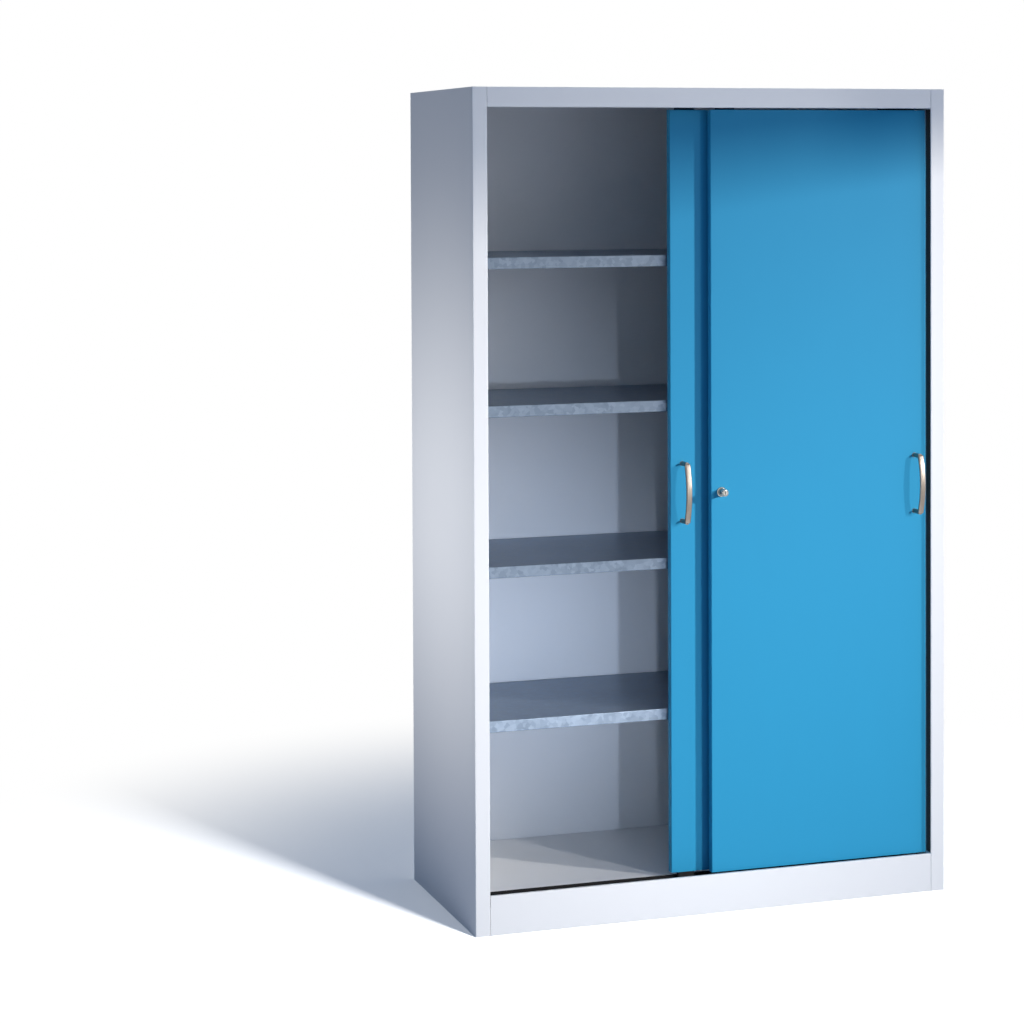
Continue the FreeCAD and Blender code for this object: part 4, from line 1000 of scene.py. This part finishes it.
@dataclass
class SlidingDoor(Assembly):
    """One door with its hangers, rollers, guides and bow handle."""

    name: str
    leg_offset: float = 68.0
    screw_radius: float = 4.0
    screw_head: float = 2.5

    def build(self, shop: Workshop) -> list[Object]:
        """Dresses the door and makes its handle and screws.

        Args:
            shop: The materials and recipes.

        Returns:
            Its pieces.
        """
        name, body = self.name, f"{self.name}_door"
        pieces = []
        for slot, nodes in (
            (Slot.DOOR_PAINT, ("door_panel", "door_stiffener")),
            # Black hangers and screws: painted shade in the gap under the top rail, where they sit in
            # shade.
            (Slot.BLACK_STEEL_PAINTED_SHADE, ("hangers", "hanger_screws")),
            (Slot.ZINC, ("roller_axles",)),
            (Slot.BLACK_NYLON, ("guides",)),
            (Slot.NYLON, ("left_roller", "right_roller")),
            (Slot.BEARING, ("left_bearing", "right_bearing")),
        ):
            pieces += shop.dress(slot, *(f"{name}_{node}" for node in nodes))
        low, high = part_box(f"{name}_handle")
        x, z = (low.x + high.x) / 2, (low.z + high.z) / 2
        mesh = shop.bow.bake([(x, high.y, z)], {}, shop.materials[Slot.NICKEL])
        bow = shop.keep(mesh, f"{name}_bow_handle", body, Slot.NICKEL, f"{name}_handle")
        low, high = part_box(f"{name}_handle_screws")
        seat = high.y - self.screw_head * MM
        mesh = shop.fasteners.bake(
            [(x, seat, z + side * self.leg_offset * MM) for side in (-1, 1)],
            {
                "Head Radius": self.screw_radius * MM,
                "Head Height": self.screw_head * MM,
                "Shank Length": seat - low.y,
                "Facing": (-math.pi / 2, 0.0, 0.0),
            },
            shop.materials[Slot.ZINC],
        )
        screws = shop.keep(
            mesh, f"{name}_handle_fixings", body, Slot.ZINC, f"{name}_handle_screws"
        )
        return [*pieces, bow, screws]


@dataclass
class PushLock(Assembly):
    """Push lock of the front door: ring, barrel with turned grooves, core, and the strike."""

    x: float = 24.0
    z: float = 995.0
    face: float = -225.0
    fit: float = 0.05
    ring_radius: float = 12.0
    ring_proud: float = 3.0
    sleeve_radius: float = 10.5
    sleeve_length: float = 18.5
    cap: float = 2.0
    barrel_radius: float = 8.5
    barrel_proud: float = 24.0
    grooves: tuple[float, ...] = (3.0, 6.0)
    groove_depth: float = 0.35
    seat: float = 4.0
    core_radius: float = 5.5
    core_length: float = 16.0
    spring_radius: float = 6.5
    spring_depth: float = 7.0
    pin_radius: float = 4.0
    pin_seat: float = 3.0

    def _ring(self) -> Mesh:
        """Turns the rosette with a rolled lip, its sleeve and its cap.

        Returns:
            The mesh.
        """
        bore, pin_bore = self.barrel_radius + self.fit, self.pin_radius + self.fit
        rim, lip = self.ring_radius, self.face - self.ring_proud
        back = self.face + self.sleeve_length
        profile = [
            (bore, lip + 0.3),
            (bore + 0.4, lip),
            (rim - 1.6, lip),
            (rim - 0.7, lip + 0.35),
            (rim - 0.15, lip + 1.1),
            (rim, lip + 2.0),
            (rim, self.face),
            (self.sleeve_radius, self.face),
            (self.sleeve_radius, back),
            (pin_bore, back),
            (pin_bore, back - self.cap),
            (bore, back - self.cap),
        ]
        return turned(profile, self.x, self.z)

    def _barrel(self) -> Mesh:
        """Turns the barrel with its grooves and a rounded front edge, bored from both ends.

        Returns:
            The mesh.
        """
        front, rear = self.face - self.barrel_proud, self.face + self.seat
        radius, depth = self.barrel_radius, self.groove_depth
        bore, pin_bore = self.core_radius + self.fit, self.pin_radius + self.fit
        spring_floor = rear - self.spring_depth
        profile = [
            (bore, front + 0.2),
            (bore + 0.2, front),
            (radius - 0.9, front),
            (radius - 0.3, front + 0.25),
            (radius, front + 0.9),
        ]
        for start in self.grooves:
            profile += [
                (radius, front + start),
                (radius - depth, front + start + 0.3),
                (radius - depth, front + start + 1.1),
                (radius, front + start + 1.4),
            ]
        profile += [
            (radius, rear),
            (self.spring_radius, rear),
            (self.spring_radius, spring_floor),
            (pin_bore, spring_floor),
            (pin_bore, spring_floor - self.pin_seat),
            (0.0, spring_floor - self.pin_seat),
            (0.0, front + self.core_length),
            (bore, front + self.core_length),
        ]
        return turned(profile, self.x, self.z)

    def build(self, shop: Workshop) -> list[Object]:
        """Makes the lock's turned pieces and dresses the rest.

        Args:
            shop: The materials and recipes.

        Returns:
            Its pieces.
        """
        ring = shop.keep(self._ring(), "lock_ring", "front_door", Slot.CHROME, "lock_housing")
        barrel = shop.keep(
            self._barrel(), "lock_barrel_turned", "lock_barrel", Slot.CHROME, "lock_cylinder"
        )
        pieces = shop.dress(Slot.CORE, "lock_core")
        pieces += shop.dress(Slot.SPRING, "lock_pin", "lock_spring")
        pieces += shop.dress(Slot.ZINC, "lock_nut", "strike_bush")
        return [ring, barrel, *pieces]


def linked(name: str, things: Sequence[Object], linking: Linking) -> Collection:
    """Gathers objects for light linking.

    Args:
        name: Name of the collection.
        things: The objects.
        linking: Whether they are the only ones meant, or the only ones left out.

    Returns:
        The collection, to be set on a lamp.
    """
    made = bpy.data.collections.new(name)
    for thing in things:
        made.objects.link(thing)
    for entry in made.collection_objects:
        entry.light_linking.link_state = linking.value
    return made


@dataclass(frozen=True)
class Lamp:
    """A soft rectangular lamp: size in metres, power in watts, spread in degrees.

    It lights the listed things alone, or all but those, as linking says. The things in clear throw
    no shadow from it.
    """

    name: str
    place: Point
    target: Point
    size: tuple[float, float]
    power: float
    spread: float
    linking: Linking
    things: Sequence[Object]
    clear: Sequence[Object] = ()
    colour: Colour = WHITE

    def hang(self) -> None:
        """Hangs the lamp, out of the camera's sight, and links it to what it lights."""
        data = bpy.data.lights.new(self.name, "AREA")
        data.shape = "RECTANGLE"
        data.size, data.size_y = self.size
        data.energy = self.power
        data.color = self.colour
        data.spread = math.radians(self.spread)
        lamp = placed(self.name, data)
        lamp.location = self.place
        ahead = Vector(self.target) - Vector(self.place)
        lamp.rotation_euler = ahead.to_track_quat("-Z", "Y").to_euler()
        lamp.visible_camera = False
        links = lamp.light_linking
        links.receiver_collection = linked(f"{self.name}_lights", self.things, self.linking)
        if self.clear:
            links.blocker_collection = linked(f"{self.name}_clear", self.clear, Linking.ALL_BUT)


@dataclass
class Studio:
    """Pale floor, white surroundings and soft lamps; its sizes are in metres.

    flag_foot is the middle of the flag's lower edge, and flag_along that edge's direction in plan.
    """

    floor_half: float = 30.0
    sky: Colour = (0.33, 0.56, 1.0)
    sky_strength: float = 0.28
    inner_tone: Colour = (0.64, 0.77, 1.0)
    flag_foot: Point = (2.0, -1.87, 2.142)
    flag_along: tuple[float, float] = (0.67, 0.74)
    flag_half: float = 0.8
    flag_height: float = 0.9

    def _panel(self, name: str, corners: Sequence[Point], finish: Finish) -> Object:
        """Sets up a flat panel of the stage.

        Args:
            name: Its name.
            corners: Its four corners, in order.
            finish: What it is made of.

        Returns:
            The panel.
        """
        mesh = bpy.data.meshes.new(name)
        mesh.from_pydata(corners, [], [(0, 1, 2, 3)])
        mesh.materials.append(finish.build(name))
        panel = placed(name, mesh)
        return panel

    def _floor(self) -> Object:
        """Lays the floor and returns it."""
        half = self.floor_half
        corners = [(-half, -half, 0.0), (half, -half, 0.0), (half, half, 0.0), (-half, half, 0.0)]
        return self._panel("studio_floor", corners, FLOOR)

    def _flag(self) -> Object:
        """Hangs the black flag that keeps the lamps at the right off the cabinet's top.

        Returns:
            The flag, which only casts shadow.
        """
        (x, y, z), (step_x, step_y) = self.flag_foot, self.flag_along
        half, tall = self.flag_half, self.flag_height
        edges = ((-half, 0.0), (half, 0.0), (half, tall), (-half, tall))
        corners = [(x + side * step_x, y + side * step_y, z + up) for side, up in edges]
        flag = self._panel("lamp_flag", corners, FLAG_CLOTH)
        flag.visible_camera = flag.visible_diffuse = False
        flag.visible_glossy = flag.visible_transmission = False
        return flag

    def _surroundings(self) -> None:
        """Sets the world: soft cool light, plain white where it is seen."""
        world = bpy.data.worlds.new("studio")
        bpy.context.scene.world = world
        world.use_nodes = True
        world.node_tree.nodes.clear()
        sheet = Sheet(world.node_tree)
        soft = tuple(c * self.sky_strength for c in self.sky)
        tone = sheet.blend(sheet.seen(), soft, WHITE)
        light = sheet.node("ShaderNodeBackground", {"Color": tone, "Strength": 1.0})
        sheet.node("ShaderNodeOutputWorld", {"Surface": light.outputs[0]})

    def _lamps(self) -> tuple[Lamp, ...]:
        """Lays the floor, hangs the flag and lists the lamps.

        Returns:
            The lamps.
        """
        floor, flag, nodes = self._floor(), self._flag(), frame["nodes"]
        doors = [nodes["front_door_panel"], nodes["rear_door_panel"]]
        post = [nodes["right_side_panel"], nodes["right_post_seal"]]
        wall, roof = [nodes["back_panel"]], [nodes["top_panel"]]
        bows = [bpy.data.objects[f"{name}_bow_handle"] for name in ("front", "rear")]
        deep = [floor, *(nodes[f"shelf_{number}"] for number in (1, 2, 3)), *wall]
        spared = [*deep, *doors]
        only, all_but = Linking.ONLY, Linking.ALL_BUT
        side, eye, warm = (5.3, -4.8, 2.8), (0.35, 0.35), (1.0, 0.96, 0.91)
        far, tint = (-0.8, -8.0, 0.9), self.inner_tone
        return (
            Lamp("right", side, (-0.8, -0.2, 0.8), eye, 16.2, 36.0, all_but, spared, bows, warm),
            Lamp("top", side, (-0.45, -0.2, 1.75), eye, 4.2, 26.0, all_but, spared, [*bows, flag]),
            Lamp("right_face", side, (-0.25, -0.2, 0.7), eye, 26.5, 46.0, only, doors, [*bows, *post]),
            Lamp("key", (3.75, -7.0, 2.9), (-0.1, -0.25, 0.25), (0.3, 0.3), 5.0, 28.0, all_but, deep),
            Lamp("left", (-5.5, 0.0, 1.05), (-0.6, 0.0, 0.95), (0.6, 0.5), 1.9, 20.0, all_but, [floor]),
            Lamp(
                "front", (-0.2, -8.0, 0.9), (0.0, -0.25, 0.2), (0.25, 0.25), 2.4, 23.0,
                all_but, [floor, *doors, *wall], colour=(0.94, 0.97, 1.0),
            ),
            Lamp("inner", far, (-0.45, 0.24, 0.64), (0.2, 0.2), 0.95, 13.0, only, wall, colour=tint),
            Lamp(
                "spot", (-2.6, -7.6, 1.0), (-0.2, 0.24, 0.56), (0.25, 0.25), 0.32, 8.5,
                only, wall, colour=tint,
            ),
            Lamp("back", (0.0, 8.0, 3.0), (0.0, 0.25, 1.0), (1.5, 1.5), 20.0, 40.0, all_but, [floor]),
            Lamp("crown", (0.0, 0.0, 7.0), (0.0, 0.0, 1.95), (1.0, 1.0), 5.5, 40.0, only, roof),
            Lamp(
                "floor", (2.05, -7.0, 4.4), (0.0, 0.0, 0.0), (1.0, 1.0), 2000.0, 180.0,
                only, [floor], [flag],
            ),
        )

    def build(self) -> None:
        """Sets the surroundings and hangs each lamp over the floor."""
        self._surroundings()
        for lamp in self._lamps():
            lamp.hang()


@dataclass
class Viewpoint:
    """Camera to the left of the cabinet, near eye height; angles in degrees, lens in millimetres."""

    place: Point = (-2.3437, -5.6986, 1.7641)
    yaw: float = 17.7714
    pitch: float = -1.3041
    roll: float = -0.2524
    lens: float = 88.3065
    sensor: float = 36.0
    shift: tuple[float, float] = (0.0374, -0.2799)

    def build(self) -> None:
        """Makes the scene's camera."""
        yaw, pitch, roll = (math.radians(a) for a in (self.yaw, self.pitch, self.roll))
        ahead = Vector(
            (math.sin(yaw) * math.cos(pitch), math.cos(yaw) * math.cos(pitch), math.sin(pitch))
        )
        right = Vector((math.cos(yaw), -math.sin(yaw), 0.0))
        up = right.cross(ahead)
        level, tilt = math.cos(roll), math.sin(roll)
        axes = Matrix((level * right + tilt * up, level * up - tilt * right, -ahead)).transposed()
        data = bpy.data.cameras.new("camera")
        data.lens, data.sensor_width = self.lens, self.sensor
        data.shift_x, data.shift_y = self.shift
        camera = placed("camera", data)
        camera.matrix_world = Matrix.Translation(self.place) @ axes.to_4x4()
        bpy.context.scene.camera = camera


def main() -> None:
    """Builds the sub-assemblies in order, reporting each piece, then the studio and the camera."""
    logging.basicConfig(level=logging.INFO, format="%(name)s: %(message)s")
    shop = Workshop()
    doors = [SlidingDoor(name) for name in ("front", "rear")]
    for assembly in (Carcase(), TopTrack(), Shelving(), *doors, PushLock()):
        for piece in assembly.build(shop):
            finish, faces = piece.data.materials[0].name, len(piece.data.polygons)
            log.info("%s: %s in %s, %d faces", type(assembly).__name__, piece.name, finish, faces)
    Studio().build()
    Viewpoint().build()
    bpy.context.scene.view_settings.view_transform = "Standard"


if __name__ == "__main__":
    main()
